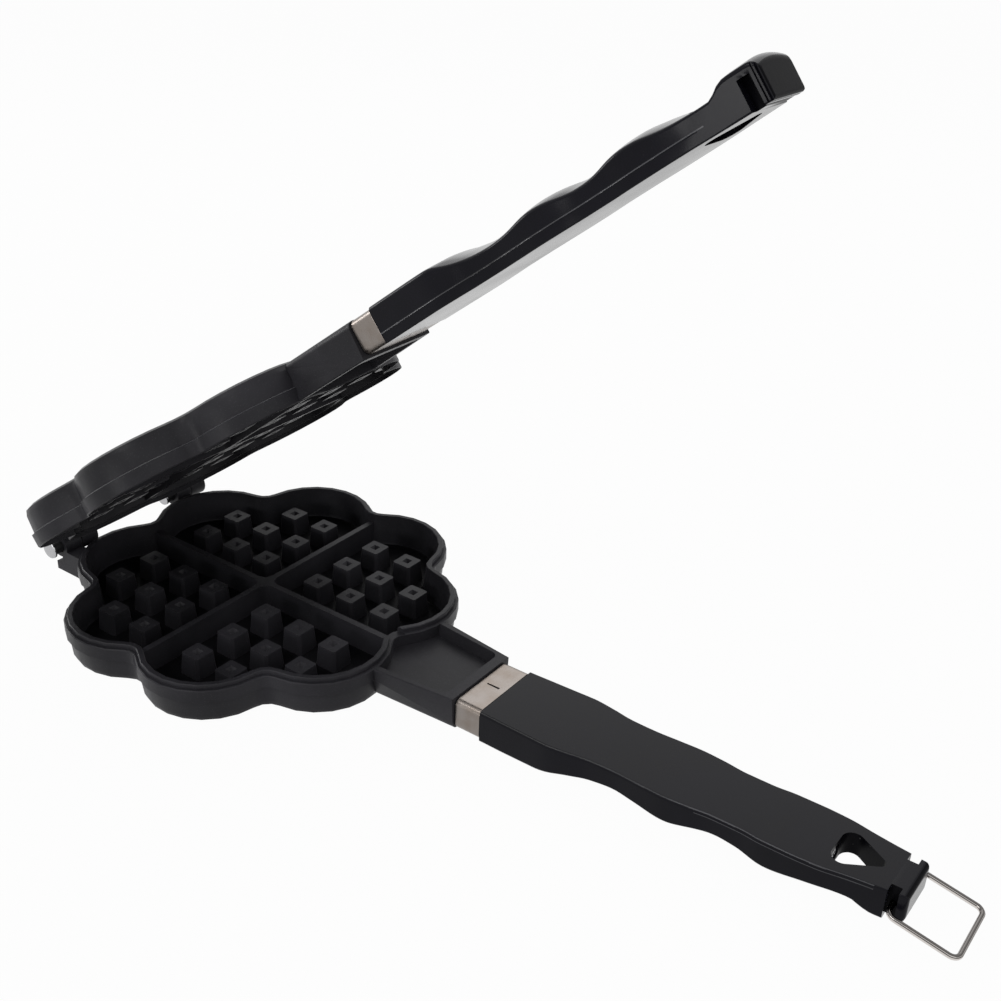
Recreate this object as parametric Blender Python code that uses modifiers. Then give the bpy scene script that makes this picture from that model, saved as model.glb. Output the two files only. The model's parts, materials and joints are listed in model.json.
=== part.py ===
"""Heart waffle iron: two hinged castings with heart-shaped cavities, moulded grips, ferrules and a wire bail.

World frame, metres, +Z up: the origin is the centre of the lower plate's flat underside, and +X runs along
the handle. Both halves are modelled in one half frame: x along the handle, y across, and depth from the plane
where the plates meet towards the half's back. The lower half is that frame turned over, the upper half is it
swung open about the hinge.
"""
import math

import bmesh
import bpy
from mathutils import Matrix

# Plate outline: eight lobe arcs joined by valley fillets, drawn at the cavity's edge
LOBE_COUNT = 8
LOBE_REACH = 0.058
LOBE_RADIUS = 0.026
VALLEY_RADIUS = 0.009
LOBE_STEPS = 8
VALLEY_STEPS = 3

# Plate section: reaches are outward from the cavity's edge, depths from the meeting plane
PLATE_DEPTH = 0.0167
CAVITY_DEPTH = 0.0132
CAVITY_DRAFT = 0.0014
CAVITY_FILLET = 0.0020
LEDGE_SETBACK = 0.0002
RING_WIDTH = 0.0024
RING_HEIGHT = 0.0020
RING_CHAMFER = 0.0003
GROOVE_SIDE_CLEARANCE = 0.0007
GROOVE_END_CLEARANCE = 0.0004
FLANGE_REACH = 0.0038
FLANGE_DEPTH = 0.0060
FLANGE_CHAMFER = 0.0004
WALL_REACH = 0.0026
WALL_DRAFT = 0.0006
BASE_RADIUS = 0.0032
BASE_STEPS = 2
SPOUT_HALF_WIDTH = 0.0042

# Studs and ribs inside the cavities
STUD_PITCH = 0.0195
STUD_START = 0.0162
STUD_ROWS = 3
STUD_HALF_WIDTH = 0.0046
STUD_TAPER = 0.0004
STUD_CORNER = 0.0010
STUD_CHAMFER = 0.0007
STUD_SETBACK = 0.0036
DIMPLE_HALF_WIDTH = 0.0013
DIMPLE_DEPTH = 0.0009
RIB_HALF_WIDTH = 0.0014
RIB_TAPER = 0.0006
RIB_SETBACK = 0.0025
RIB_FILLET = 0.0040

# Neck between the plate and the ferrule, a tray open to the meeting plane
NECK_LENGTH = 0.04425
NECK_ROOT_INREACH = 0.0077
NECK_ROOT_HALF_WIDTH = 0.0254
NECK_END_HALF_WIDTH = 0.0189
NECK_ROOT_BASE_HALF_WIDTH = 0.0197
NECK_END_BASE_HALF_WIDTH = 0.0179
NECK_ROOT_SETBACK = 0.0003
NECK_END_SETBACK = 0.0008
NECK_DEPTH = 0.0158
NECK_CORNER_RADIUS = 0.0030
NECK_EDGE_RADIUS = 0.0006
POCKET_RIM = 0.0034
POCKET_END_WALL = 0.0042
POCKET_DEPTH = 0.0057
POCKET_DRAFT = 0.0014
POCKET_CORNER_RADIUS = 0.0030

# Hinge: two pairs of knuckles on one axis
HINGE_STANDOFF = 0.0059
HINGE_RISE = 0.0016
HINGE_SPREAD = 0.0329
KNUCKLE_LENGTH = 0.0086
KNUCKLE_GAP = 0.0004
BARREL_RADIUS = 0.0055
WEB_SETBACK = 0.0015
LUG_OVERHANG = 0.0030
LUG_DEPTH = 0.0074
LUG_THICKNESS = 0.0040
PIN_RADIUS = 0.0032
PIN_CHAMFER = 0.0006
PIN_CLEARANCE = 0.0003
PIN_PROTRUSION = 0.0041
RELIEF_CLEARANCE = 0.0005
OPEN_DEG = 37.7

# Ferrule, a sheet sleeve round the casting's collar, and the tang that the handle screw pulls on
SEAT_GAP = 0.0003
FERRULE_LENGTH = 0.0117
FERRULE_HALF_WIDTH = 0.01705
FERRULE_SETBACK = 0.0019
FERRULE_DEPTH = 0.0156
FERRULE_CORNER_RADIUS = 0.0022
FERRULE_WALL = 0.0007
SLIT_LENGTH = 0.0055
SLIT_WIDTH = 0.0006
TANG_LENGTH = 0.0200
TANG_HALF_WIDTH = 0.0100
TANG_HALF_THICKNESS = 0.0026
TANG_BORE_LENGTH = 0.0170

# Handle screw, driven from the hanging hole
SCREW_DEPTH = 0.0057
SCREW_RADIUS = 0.0020
SCREW_HEAD_RADIUS = 0.0030
SCREW_HEAD_HEIGHT = 0.0024
SCREW_TIP_SETBACK = 0.0040
SCREW_RECESS = 0.0004

# Handle: half-width, thickness and corners follow shares of the grip's largest values along the handle
HANDLE_LENGTH = 0.1680
GRIP_HALF_WIDTH = 0.0181
GRIP_THICKNESS = 0.0145
HANDLE_ROOT_SETBACK = 0.0018
HANDLE_END_SETBACK = 0.0006
FACE_EDGE = 0.0011
END_EDGE_RADIUS = 0.0012
END_BACK_RADIUS = 0.0022
UPPER_END_SETBACK = 0.0015
UPPER_FACE_TILT = 0.0013
WIDTH_SHARES = (
    (0.0, 0.950), (0.060, 0.967), (0.119, 0.983), (0.179, 1.0), (0.236, 0.939), (0.293, 0.856),
    (0.352, 0.840), (0.412, 0.867), (0.469, 0.890), (0.525, 0.856), (0.585, 0.790), (0.645, 0.785),
    (0.704, 0.829), (0.758, 0.829), (0.818, 0.800), (0.878, 0.707), (0.920, 0.650), (0.955, 0.610),
    (1.0, 0.560),
)
THICKNESS_SHARES = (
    (0.0, 1.0), (0.155, 0.958), (0.245, 0.751), (0.300, 0.645), (0.352, 0.594), (0.400, 0.654),
    (0.484, 0.778), (0.549, 0.646), (0.600, 0.577), (0.642, 0.629), (0.716, 0.783), (0.794, 0.666),
    (0.848, 0.619), (0.890, 0.645), (0.918, 0.800), (0.940, 0.870), (1.0, 0.880),
)
UPPER_THICKNESS_SHARES = (
    (0.0, 0.965), (0.155, 0.955), (0.258, 0.770), (0.313, 0.665), (0.362, 0.600), (0.412, 0.640),
    (0.497, 0.778), (0.565, 0.670), (0.613, 0.590), (0.655, 0.629), (0.729, 0.783), (0.812, 0.685),
    (0.858, 0.619), (0.886, 0.640), (0.909, 0.780), (0.928, 0.807), (1.0, 0.807),
)
CORNER_SHARES = ((0.0, 0.09), (0.925, 0.10), (0.965, 0.20), (1.0, 0.24))
HANDLE_STATIONS = 34
CORNER_STEPS = 3
END_STEPS = 4

# Hanging hole: a rounded triangle with its tip towards the handle's end
HOLE_SETBACK = 0.0120
HOLE_LENGTH = 0.0172
HOLE_HALF_WIDTH = 0.0085
HOLE_CORNER_RADIUS = 0.0041
HOLE_TIP_RADIUS = 0.0023
HOLE_STEPS = 24

# Bail: a bent wire hung in holes in the lower handle's side notches
NOTCH_SETBACK = 0.0052
UPPER_NOTCH_SETBACK = 0.0066
NOTCH_WIDTH = 0.0034
NOTCH_DEPTH = 0.0022
BAIL_DEPTH = 0.0080
BAIL_HALF_WIDTH = 0.0136
BAIL_LENGTH = 0.0249
BAIL_CORNER_RADIUS = 0.0030
BAIL_GRIP = 0.0034
WIRE_RADIUS = 0.0010
WIRE_CLEARANCE = 0.0003
BAIL_DROOP_DEG = 10.6
BEND_STEPS = 5

# A fine slot in each side of the upper handle's end
END_SLOT_WIDTH = 0.0006
END_SLOT_DEPTH = 0.0007
END_SLOT_SETBACK = 0.0024

OVERRUN = 0.0030
WELD = 0.000001
ROUND_SIDES = 24


def valley_reach_at(reach):
    """How far the outline's valley lies from the plate's centre."""
    half = math.pi / LOBE_COUNT
    across = LOBE_REACH * math.sin(half)
    span = LOBE_RADIUS + VALLEY_RADIUS
    return LOBE_REACH * math.cos(half) + math.sqrt(span ** 2 - across ** 2) - (VALLEY_RADIUS - reach)


# Places worked out from the sizes above
LOBE_CENTRE_REACH = LOBE_REACH * math.cos(math.pi / LOBE_COUNT)
HINGE_REACH = LOBE_CENTRE_REACH + LOBE_RADIUS + FLANGE_REACH + HINGE_STANDOFF
NECK_ROOT_REACH = valley_reach_at(0.0) - NECK_ROOT_INREACH
NECK_REACH = valley_reach_at(FLANGE_REACH) + NECK_LENGTH
FERRULE_START = NECK_REACH + SEAT_GAP
FERRULE_END = FERRULE_START + FERRULE_LENGTH
HANDLE_START = FERRULE_END + SEAT_GAP
HANDLE_END = HANDLE_START + HANDLE_LENGTH
HOLE_TIP = HANDLE_END - HOLE_SETBACK
HOLE_BACK = HOLE_TIP - HOLE_LENGTH
BAIL_X = HANDLE_END - NOTCH_SETBACK
TANG_END = FERRULE_END + TANG_LENGTH


def new_collection(name):
    collection = bpy.data.collections.new(name)
    bpy.context.scene.collection.children.link(collection)
    return collection


def finish(obj, colour, roughness, metallic):
    """Gives a sub-part its own Principled material."""
    material = bpy.data.materials.new(obj.name + "_finish")
    material.use_nodes = True
    shader = material.node_tree.nodes["Principled BSDF"]
    shader.inputs["Base Color"].default_value = (*colour, 1.0)
    shader.inputs["Roughness"].default_value = roughness
    shader.inputs["Metallic"].default_value = metallic
    material.diffuse_color = (*colour, 1.0)
    obj.data.materials.append(material)


def add_mesh(name, mesh_builder, collection, parent=None):
    """Makes an object from a bmesh, and hangs it on its half."""
    mesh = bpy.data.meshes.new(name)
    mesh_builder.to_mesh(mesh)
    mesh_builder.free()
    obj = bpy.data.objects.new(name, mesh)
    collection.objects.link(obj)
    if collection is TOOLS:
        obj.hide_render = True
        obj.display_type = 'WIRE'
    if parent:
        obj.parent = parent
        obj.location = HALF_OFFSETS[parent.name]
    return obj


def loft(name, rings, collection, parent=None):
    """Joins rings of equal point count into one closed body with flat end caps."""
    build = bmesh.new()
    rows = [[build.verts.new(point) for point in ring] for ring in rings]
    count = len(rings[0])
    for low, high in zip(rows, rows[1:]):
        for k in range(count):
            following = (k + 1) % count
            build.faces.new((low[k], low[following], high[following], high[k]))
    build.faces.new(rows[0][::-1])
    build.faces.new(rows[-1])
    bmesh.ops.remove_doubles(build, verts=build.verts, dist=WELD)
    bmesh.ops.recalc_face_normals(build, faces=build.faces)
    return add_mesh(name, build, collection, parent)


def box(name, low, high, collection, parent=None):
    build = bmesh.new()
    bmesh.ops.create_cube(build, size=1.0)
    for vert in build.verts:
        vert.co = [a + (b - a) * (c + 0.5) for a, b, c in zip(low, high, vert.co)]
    return add_mesh(name, build, collection, parent)


def rod(name, start, length, radius, axis, collection, parent=None):
    """A plain cylinder from a start point along x or y."""
    build = bmesh.new()
    bmesh.ops.create_cone(build, cap_ends=True, segments=ROUND_SIDES,
                          radius1=radius, radius2=radius, depth=length)
    turn = Matrix.Rotation(math.pi / 2, 4, 'Y') if axis == 'X' else Matrix.Rotation(math.pi / 2, 4, 'X')
    shift = (length / 2, 0.0, 0.0) if axis == 'X' else (0.0, length / 2, 0.0)
    centre = [a + b for a, b in zip(start, shift)]
    bmesh.ops.transform(build, matrix=Matrix.Translation(centre) @ turn, verts=build.verts)
    return add_mesh(name, build, collection, parent)


def turned(name, profile, start, axis, collection, parent=None):
    """A turned solid: its profile of (radius, station) runs from the far end's centre to the near end's."""
    build = bmesh.new()
    verts = [build.verts.new((radius, 0.0, station)) for radius, station in profile]
    for first, second in zip(verts, verts[1:]):
        build.edges.new((first, second))
    obj = add_mesh(name, build, collection, parent)
    turn = Matrix.Rotation(math.pi / 2, 4, 'Y') if axis == 'X' else Matrix.Rotation(-math.pi / 2, 4, 'X')
    base = obj.location.copy()
    obj.matrix_basis = Matrix.Translation(base) @ Matrix.Translation(start) @ turn
    spin = obj.modifiers.new("turn", 'SCREW')
    spin.steps = ROUND_SIDES
    spin.render_steps = ROUND_SIDES
    spin.use_merge_vertices = True
    spin.merge_threshold = WELD
    return obj


def cut(target, tool):
    change = target.modifiers.new("cut " + tool.name, 'BOOLEAN')
    change.operation = 'DIFFERENCE'
    change.solver = 'EXACT'
    change.object = tool


def fuse(target, tool):
    change = target.modifiers.new("join " + tool.name, 'BOOLEAN')
    change.operation = 'UNION'
    change.solver = 'EXACT'
    change.object = tool


def soften(obj, angle_deg=35.0):
    """Shades a round piece smooth, with its real edges kept sharp."""
    for polygon in obj.data.polygons:
        polygon.use_smooth = True
    obj.data.set_sharp_from_angle(angle=math.radians(angle_deg))


def flower(reach, depth):
    """The plate's outline drawn in or out by reach: lobe arcs and valley fillets, tangent to each other."""
    lobe_radius = LOBE_RADIUS + reach
    valley_radius = VALLEY_RADIUS - reach
    half = math.pi / LOBE_COUNT
    across = LOBE_REACH * math.sin(half)
    span = LOBE_RADIUS + VALLEY_RADIUS
    along = math.sqrt(span ** 2 - across ** 2)
    valley_reach = LOBE_REACH * math.cos(half) + along
    turn = math.asin(across / span)
    points = []
    for lobe in range(LOBE_COUNT):
        axis = half * (2 * lobe + 1)
        sweep = half + turn
        centre = (LOBE_REACH * math.cos(axis), LOBE_REACH * math.sin(axis))
        for k in range(LOBE_STEPS):
            angle = axis + sweep * (2 * k / LOBE_STEPS - 1)
            points.append((centre[0] + lobe_radius * math.cos(angle),
                           centre[1] + lobe_radius * math.sin(angle), depth))
        valley = axis + half
        centre = (valley_reach * math.cos(valley), valley_reach * math.sin(valley))
        for k in range(VALLEY_STEPS):
            angle = valley + math.pi + turn * (1 - 2 * k / VALLEY_STEPS)
            points.append((centre[0] + valley_radius * math.cos(angle),
                           centre[1] + valley_radius * math.sin(angle), depth))
    return points


def rounded(corners, radii, steps):
    """A flat outline with an arc at each corner, inward or outward."""
    points = []
    count = len(corners)
    for k, (corner, radius) in enumerate(zip(corners, radii)):
        before = corners[k - 1]
        after = corners[(k + 1) % count]
        first = [a - b for a, b in zip(before, corner)]
        second = [a - b for a, b in zip(after, corner)]
        length_1 = math.hypot(*first)
        length_2 = math.hypot(*second)
        first = [a / length_1 for a in first]
        second = [a / length_2 for a in second]
        opening = math.acos(max(-1.0, min(1.0, first[0] * second[0] + first[1] * second[1])))
        reach = radius / math.tan(opening / 2)
        middle = [a + b for a, b in zip(first, second)]
        scale = radius / math.sin(opening / 2) / math.hypot(*middle)
        centre = [a + b * scale for a, b in zip(corner, middle)]
        start = [a + b * reach - c for a, b, c in zip(corner, first, centre)]
        end = [a + b * reach - c for a, b, c in zip(corner, second, centre)]
        angle_1 = math.atan2(start[1], start[0])
        turn = math.atan2(end[1], end[0]) - angle_1
        turn = (turn + math.pi) % (2 * math.pi) - math.pi
        for step in range(steps + 1):
            angle = angle_1 + turn * step / steps
            points.append((centre[0] + radius * math.cos(angle), centre[1] + radius * math.sin(angle)))
    return points


def belt(circles, steps):
    """The outline of a belt drawn tight round circles of (x, y, radius)."""
    points = []
    for k in range(steps):
        angle = 2 * math.pi * (k + 0.5) / steps
        across, up = math.cos(angle), math.sin(angle)
        x, y, radius = max(circles, key=lambda c: c[0] * across + c[1] * up + c[2])
        points.append((x + radius * across, y + radius * up))
    return points


def along_table(table, share):
    """Smooth value between the points of a table of shares, without overshoot."""
    share = min(max(share, table[0][0]), table[-1][0])
    last = len(table) - 2
    k = min(last, max(i for i, row in enumerate(table) if row[0] <= share))

    def slope(i):
        return (table[i + 1][1] - table[i][1]) / (table[i + 1][0] - table[i][0])

    def tangent(i):
        if i == 0 or i > last:
            return 0.0
        before, after = slope(i - 1), slope(i)
        return 0.0 if before * after <= 0 else 2 * before * after / (before + after)

    width = table[k + 1][0] - table[k][0]
    t = (share - table[k][0]) / width
    rise = table[k + 1][1] - table[k][1]
    ease = t * t * (3 - 2 * t)
    pull = width * t * (1 - t) * ((1 - t) * tangent(k) - t * tangent(k + 1))
    return table[k][1] + rise * ease + pull


def plate_rings(upper):
    """Rings of the plate's section, from the cavity floor over the rim to the underside."""
    ring_top = LEDGE_SETBACK - RING_HEIGHT
    fillet = CAVITY_FILLET
    bend = fillet * (1 - math.cos(math.pi / 4))
    section = [
        (-CAVITY_DRAFT - fillet, CAVITY_DEPTH),
        (-CAVITY_DRAFT - bend, CAVITY_DEPTH - bend),
        (-CAVITY_DRAFT, CAVITY_DEPTH - fillet),
    ]
    if upper:
        section += [(0.0, LEDGE_SETBACK)]
    else:
        section += [
            (0.0, ring_top + RING_CHAMFER),
            (RING_CHAMFER, ring_top),
            (RING_WIDTH - RING_CHAMFER, ring_top),
            (RING_WIDTH, ring_top + RING_CHAMFER),
            (RING_WIDTH, LEDGE_SETBACK),
        ]
    wall_base = WALL_REACH - WALL_DRAFT
    section += [
        (FLANGE_REACH - FLANGE_CHAMFER, LEDGE_SETBACK),
        (FLANGE_REACH, LEDGE_SETBACK + FLANGE_CHAMFER),
        (FLANGE_REACH, LEDGE_SETBACK + FLANGE_DEPTH - FLANGE_CHAMFER),
        (WALL_REACH, LEDGE_SETBACK + FLANGE_DEPTH),
    ]
    for k in range(BASE_STEPS + 1):
        angle = math.pi / 2 * k / BASE_STEPS
        section.append((wall_base - BASE_RADIUS * (1 - math.cos(angle)),
                        PLATE_DEPTH - BASE_RADIUS * (1 - math.sin(angle))))
    return [flower(reach, depth) for reach, depth in section]


def stud_ring(centre, half, corner, depth):
    """Eight points round a square with cut corners."""
    near = half - corner
    shape = ((half, -near), (half, near), (near, half), (-near, half),
             (-half, near), (-half, -near), (-near, -half), (near, -half))
    return [(centre[0] + x, centre[1] + y, depth) for x, y in shape]


def stud_group(name, parent):
    """All studs of a plate as one tool: a grid in each quadrant, without its outermost corner."""
    build = bmesh.new()
    top = STUD_HALF_WIDTH
    base = top + STUD_TAPER
    for side_x in (-1, 1):
        for side_y in (-1, 1):
            for row in range(STUD_ROWS):
                for column in range(STUD_ROWS):
                    if row + column == 2 * (STUD_ROWS - 1):
                        continue
                    centre = (side_x * (STUD_START + row * STUD_PITCH),
                              side_y * (STUD_START + column * STUD_PITCH))
                    rings = [
                        stud_ring(centre, base, STUD_CORNER, CAVITY_DEPTH + SEAT_GAP),
                        stud_ring(centre, top, STUD_CORNER, STUD_SETBACK + STUD_CHAMFER),
                        stud_ring(centre, top - STUD_CHAMFER, STUD_CORNER / 2, STUD_SETBACK),
                        stud_ring(centre, DIMPLE_HALF_WIDTH, 0.0, STUD_SETBACK),
                    ]
                    rows = [[build.verts.new(point) for point in ring] for ring in rings]
                    pit = build.verts.new((*centre, STUD_SETBACK + DIMPLE_DEPTH))
                    for low, high in zip(rows, rows[1:]):
                        for k in range(8):
                            after = (k + 1) % 8
                            build.faces.new((low[k], low[after], high[after], high[k]))
                    for k in range(8):
                        build.faces.new((rows[-1][k], rows[-1][(k + 1) % 8], pit))
                    build.faces.new(rows[0][::-1])
    bmesh.ops.remove_doubles(build, verts=build.verts, dist=WELD)
    bmesh.ops.recalc_face_normals(build, faces=build.faces)
    return add_mesh(name, build, TOOLS, parent)


def rib_cross(name, parent):
    """The two crossed ribs that part the four cavities."""
    reach = valley_reach_at(WALL_REACH / 2)
    rings = []
    for depth, half in ((CAVITY_DEPTH + SEAT_GAP, RIB_HALF_WIDTH + RIB_TAPER), (RIB_SETBACK, RIB_HALF_WIDTH)):
        corners = [(reach, -half), (reach, half), (half, half),
                   (half, reach), (-half, reach), (-half, half),
                   (-reach, half), (-reach, -half), (-half, -half),
                   (-half, -reach), (half, -reach), (half, -half)]
        edge = RIB_TAPER
        radii = [edge, edge, RIB_FILLET] * 4
        rings.append([(x, y, depth) for x, y in rounded(corners, radii, 2)])
    return loft(name, rings, TOOLS, parent)


def neck_body(name, parent):
    """The tray between plate and ferrule, with its pocket and the hinge lugs, clear of the cavities."""
    rings = []
    for x, top, base, setback in (
            (NECK_ROOT_REACH, NECK_ROOT_HALF_WIDTH, NECK_ROOT_BASE_HALF_WIDTH, NECK_ROOT_SETBACK),
            (NECK_REACH, NECK_END_HALF_WIDTH, NECK_END_BASE_HALF_WIDTH, NECK_END_SETBACK)):
        corners = [(-top, setback), (top, setback), (base, NECK_DEPTH), (-base, NECK_DEPTH)]
        radii = [NECK_EDGE_RADIUS, NECK_EDGE_RADIUS, NECK_CORNER_RADIUS, NECK_CORNER_RADIUS]
        rings.append([(x, y, depth) for y, depth in rounded(corners, radii, 3)])
    neck = loft(name, rings, TOOLS, parent)

    slope = (NECK_END_HALF_WIDTH - NECK_ROOT_HALF_WIDTH) / (NECK_REACH - NECK_ROOT_REACH)
    pocket_start = NECK_ROOT_REACH - OVERRUN
    pocket_end = NECK_REACH - POCKET_END_WALL
    rings = []
    for depth, inset in ((POCKET_DEPTH, POCKET_DRAFT), (NECK_ROOT_SETBACK, 0.0), (-OVERRUN, 0.0)):
        start_half = NECK_ROOT_HALF_WIDTH - POCKET_RIM - inset - slope * OVERRUN
        end_half = NECK_ROOT_HALF_WIDTH + slope * (pocket_end - NECK_ROOT_REACH) - POCKET_RIM - inset
        corners = [(pocket_start, -start_half), (pocket_end - inset, -end_half),
                   (pocket_end - inset, end_half), (pocket_start, start_half)]
        radii = [SEAT_GAP, POCKET_CORNER_RADIUS, POCKET_CORNER_RADIUS, SEAT_GAP]
        rings.append([(x, y, depth) for x, y in rounded(corners, radii, 4)])
    cut(neck, loft(name + "_pocket", rings, TOOLS, parent))

    for side, where in ((-1, "_near"), (1, "_far")):
        start, end = knuckle_range(side)
        fuse(neck, box(name + "_web" + where, (-HINGE_REACH + WEB_SETBACK, start, LEDGE_SETBACK + SEAT_GAP),
                       (-LOBE_CENTRE_REACH, end, LUG_DEPTH + SEAT_GAP), TOOLS, parent))
        fuse(neck, box(name + "_lug" + where, (-HINGE_REACH - LUG_OVERHANG, start, LUG_DEPTH),
                       (-LOBE_CENTRE_REACH, end, LUG_DEPTH + LUG_THICKNESS), TOOLS, parent))
    plug = [flower(SEAT_GAP, depth) for depth in (-OVERRUN, PLATE_DEPTH + OVERRUN)]
    cut(neck, loft(name + "_plug", plug, TOOLS, parent))
    return neck


def knuckle_range(side):
    """Where a half's own knuckle starts and ends along y, on the near or far hinge, in its half frame."""
    start = side * HINGE_SPREAD + KNUCKLE_GAP / 2
    return start, start + KNUCKLE_LENGTH


def tang_box(name, start, gap, parent):
    """The flat tang inside the handle, grown all round by the given gap."""
    half_width = TANG_HALF_WIDTH + gap
    half_thickness = TANG_HALF_THICKNESS + gap
    return box(name, (start, -half_width, SCREW_DEPTH - half_thickness),
               (TANG_END + gap, half_width, SCREW_DEPTH + half_thickness), TOOLS, parent)


def casting(name, upper, parent):
    """One cast half: plate, cavities with studs and ribs, neck, knuckles, collar and tang."""
    plate = loft(name, plate_rings(upper), PARTS, parent)
    axis_depth = HINGE_RISE if upper else -HINGE_RISE
    fuse(plate, neck_body(name + "_neck", parent))
    for side in (-1, 1):
        where = "_near" if side < 0 else "_far"
        start, end = knuckle_range(side)
        at = (-HINGE_REACH, start, axis_depth)
        fuse(plate, rod(name + "_barrel" + where, at, KNUCKLE_LENGTH, BARREL_RADIUS, 'Y', TOOLS, parent))
    if upper:
        groove_floor = RING_HEIGHT - LEDGE_SETBACK + GROOVE_END_CLEARANCE
        groove_reach = RING_WIDTH + GROOVE_SIDE_CLEARANCE
        groove = [flower(groove_reach, -OVERRUN), flower(groove_reach, groove_floor)]
        cut(plate, loft(name + "_groove", groove, TOOLS, parent))
    fuse(plate, rib_cross(name + "_ribs", parent))
    fuse(plate, stud_group(name + "_studs", parent))

    spout_end = valley_reach_at(FLANGE_REACH) + OVERRUN
    cut(plate, box(name + "_spout", (valley_reach_at(-OVERRUN), -SPOUT_HALF_WIDTH, -OVERRUN),
                   (spout_end, SPOUT_HALF_WIDTH, LEDGE_SETBACK + SEAT_GAP), TOOLS, parent))

    collar_half = FERRULE_HALF_WIDTH - FERRULE_WALL - SEAT_GAP
    collar_top = FERRULE_SETBACK + FERRULE_WALL + SEAT_GAP
    collar_base = FERRULE_DEPTH - FERRULE_WALL - SEAT_GAP
    collar = sleeve_outline(collar_half, collar_top, collar_base, FERRULE_CORNER_RADIUS - FERRULE_WALL)
    collar_rings = [[(x, y, depth) for y, depth in collar] for x in (NECK_REACH - OVERRUN, FERRULE_END)]
    fuse(plate, loft(name + "_collar", collar_rings, TOOLS, parent))
    fuse(plate, tang_box(name + "_tang", FERRULE_END - OVERRUN, 0.0, parent))
    bore_start = (TANG_END - TANG_BORE_LENGTH, 0.0, SCREW_DEPTH)
    cut(plate, rod(name + "_tang_bore", bore_start, TANG_BORE_LENGTH + OVERRUN,
                   SCREW_RADIUS + SEAT_GAP, 'X', TOOLS, parent))

    for side in (-1, 1):
        where = "_near" if side < 0 else "_far"
        start, end = knuckle_range(side)
        bore_start = (-HINGE_REACH, start - OVERRUN, axis_depth)
        cut(plate, rod(name + "_bore" + where, bore_start, KNUCKLE_LENGTH + 2 * OVERRUN,
                       PIN_RADIUS + PIN_CLEARANCE, 'Y', TOOLS, parent))
        relief_length = KNUCKLE_LENGTH + KNUCKLE_GAP / 2 + RELIEF_CLEARANCE
        relief_start = (-HINGE_REACH, side * HINGE_SPREAD - relief_length, axis_depth)
        cut(plate, rod(name + "_relief" + where, relief_start, relief_length,
                       BARREL_RADIUS + RELIEF_CLEARANCE, 'Y', TOOLS, parent))
    finish(plate, (0.019, 0.019, 0.020), 0.42, 0.3)
    soften(plate)
    return plate


def sleeve_outline(half, top, base, radius):
    """A rounded rectangle in y and depth."""
    corners = [(-half, top), (half, top), (half, base), (-half, base)]
    return rounded(corners, [radius] * 4, 3)


def ferrule(name, parent):
    """A thin steel sleeve with a short slit in its face."""
    outer = sleeve_outline(FERRULE_HALF_WIDTH, FERRULE_SETBACK, FERRULE_DEPTH, FERRULE_CORNER_RADIUS)
    ends = [[(x, y, depth) for y, depth in outer] for x in (FERRULE_START, FERRULE_END)]
    sleeve = loft(name, ends, PARTS, parent)
    inner = sleeve_outline(FERRULE_HALF_WIDTH - FERRULE_WALL, FERRULE_SETBACK + FERRULE_WALL,
                           FERRULE_DEPTH - FERRULE_WALL, FERRULE_CORNER_RADIUS - FERRULE_WALL)
    ends = [[(x, y, depth) for y, depth in inner] for x in (FERRULE_START - OVERRUN, FERRULE_END + OVERRUN)]
    cut(sleeve, loft(name + "_inside", ends, TOOLS, parent))
    middle = (FERRULE_START + FERRULE_END) / 2
    cut(sleeve, box(name + "_slit", (middle - SLIT_LENGTH / 2, -SLIT_WIDTH / 2, FERRULE_SETBACK - OVERRUN),
                    (middle + SLIT_LENGTH / 2, SLIT_WIDTH / 2, FERRULE_SETBACK + 2 * FERRULE_WALL),
                    TOOLS, parent))
    finish(sleeve, (0.42, 0.38, 0.35), 0.35, 1.0)
    soften(sleeve)
    return sleeve


def grip_half_width(x):
    return GRIP_HALF_WIDTH * along_table(WIDTH_SHARES, (x - HANDLE_START) / HANDLE_LENGTH)


def handle_section(x, upper, inset, drop):
    """The handle's outline across x: flat face with cut edges, upright sides and rounded back corners."""
    share = (x - HANDLE_START) / HANDLE_LENGTH
    half = grip_half_width(x) - inset
    end_setback = HANDLE_END_SETBACK + (UPPER_FACE_TILT if upper else 0.0)
    face = HANDLE_ROOT_SETBACK + (end_setback - HANDLE_ROOT_SETBACK) * share
    shares = UPPER_THICKNESS_SHARES if upper else THICKNESS_SHARES
    back = face + GRIP_THICKNESS * along_table(shares, share) - drop
    face += inset
    radius = GRIP_THICKNESS * along_table(CORNER_SHARES, share) - inset
    edge = FACE_EDGE
    points = [(-half + edge, face), (half - edge, face), (half, face + edge)]
    for k in range(CORNER_STEPS + 1):
        angle = math.pi / 2 * k / CORNER_STEPS
        points.append((half - radius + radius * math.cos(angle), back - radius + radius * math.sin(angle)))
    for k in range(CORNER_STEPS + 1):
        angle = math.pi / 2 * (1 + k / CORNER_STEPS)
        points.append((-half + radius + radius * math.cos(angle), back - radius + radius * math.sin(angle)))
    points.append((-half, face + edge))
    return [(x, y, depth) for y, depth in points]


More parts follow.
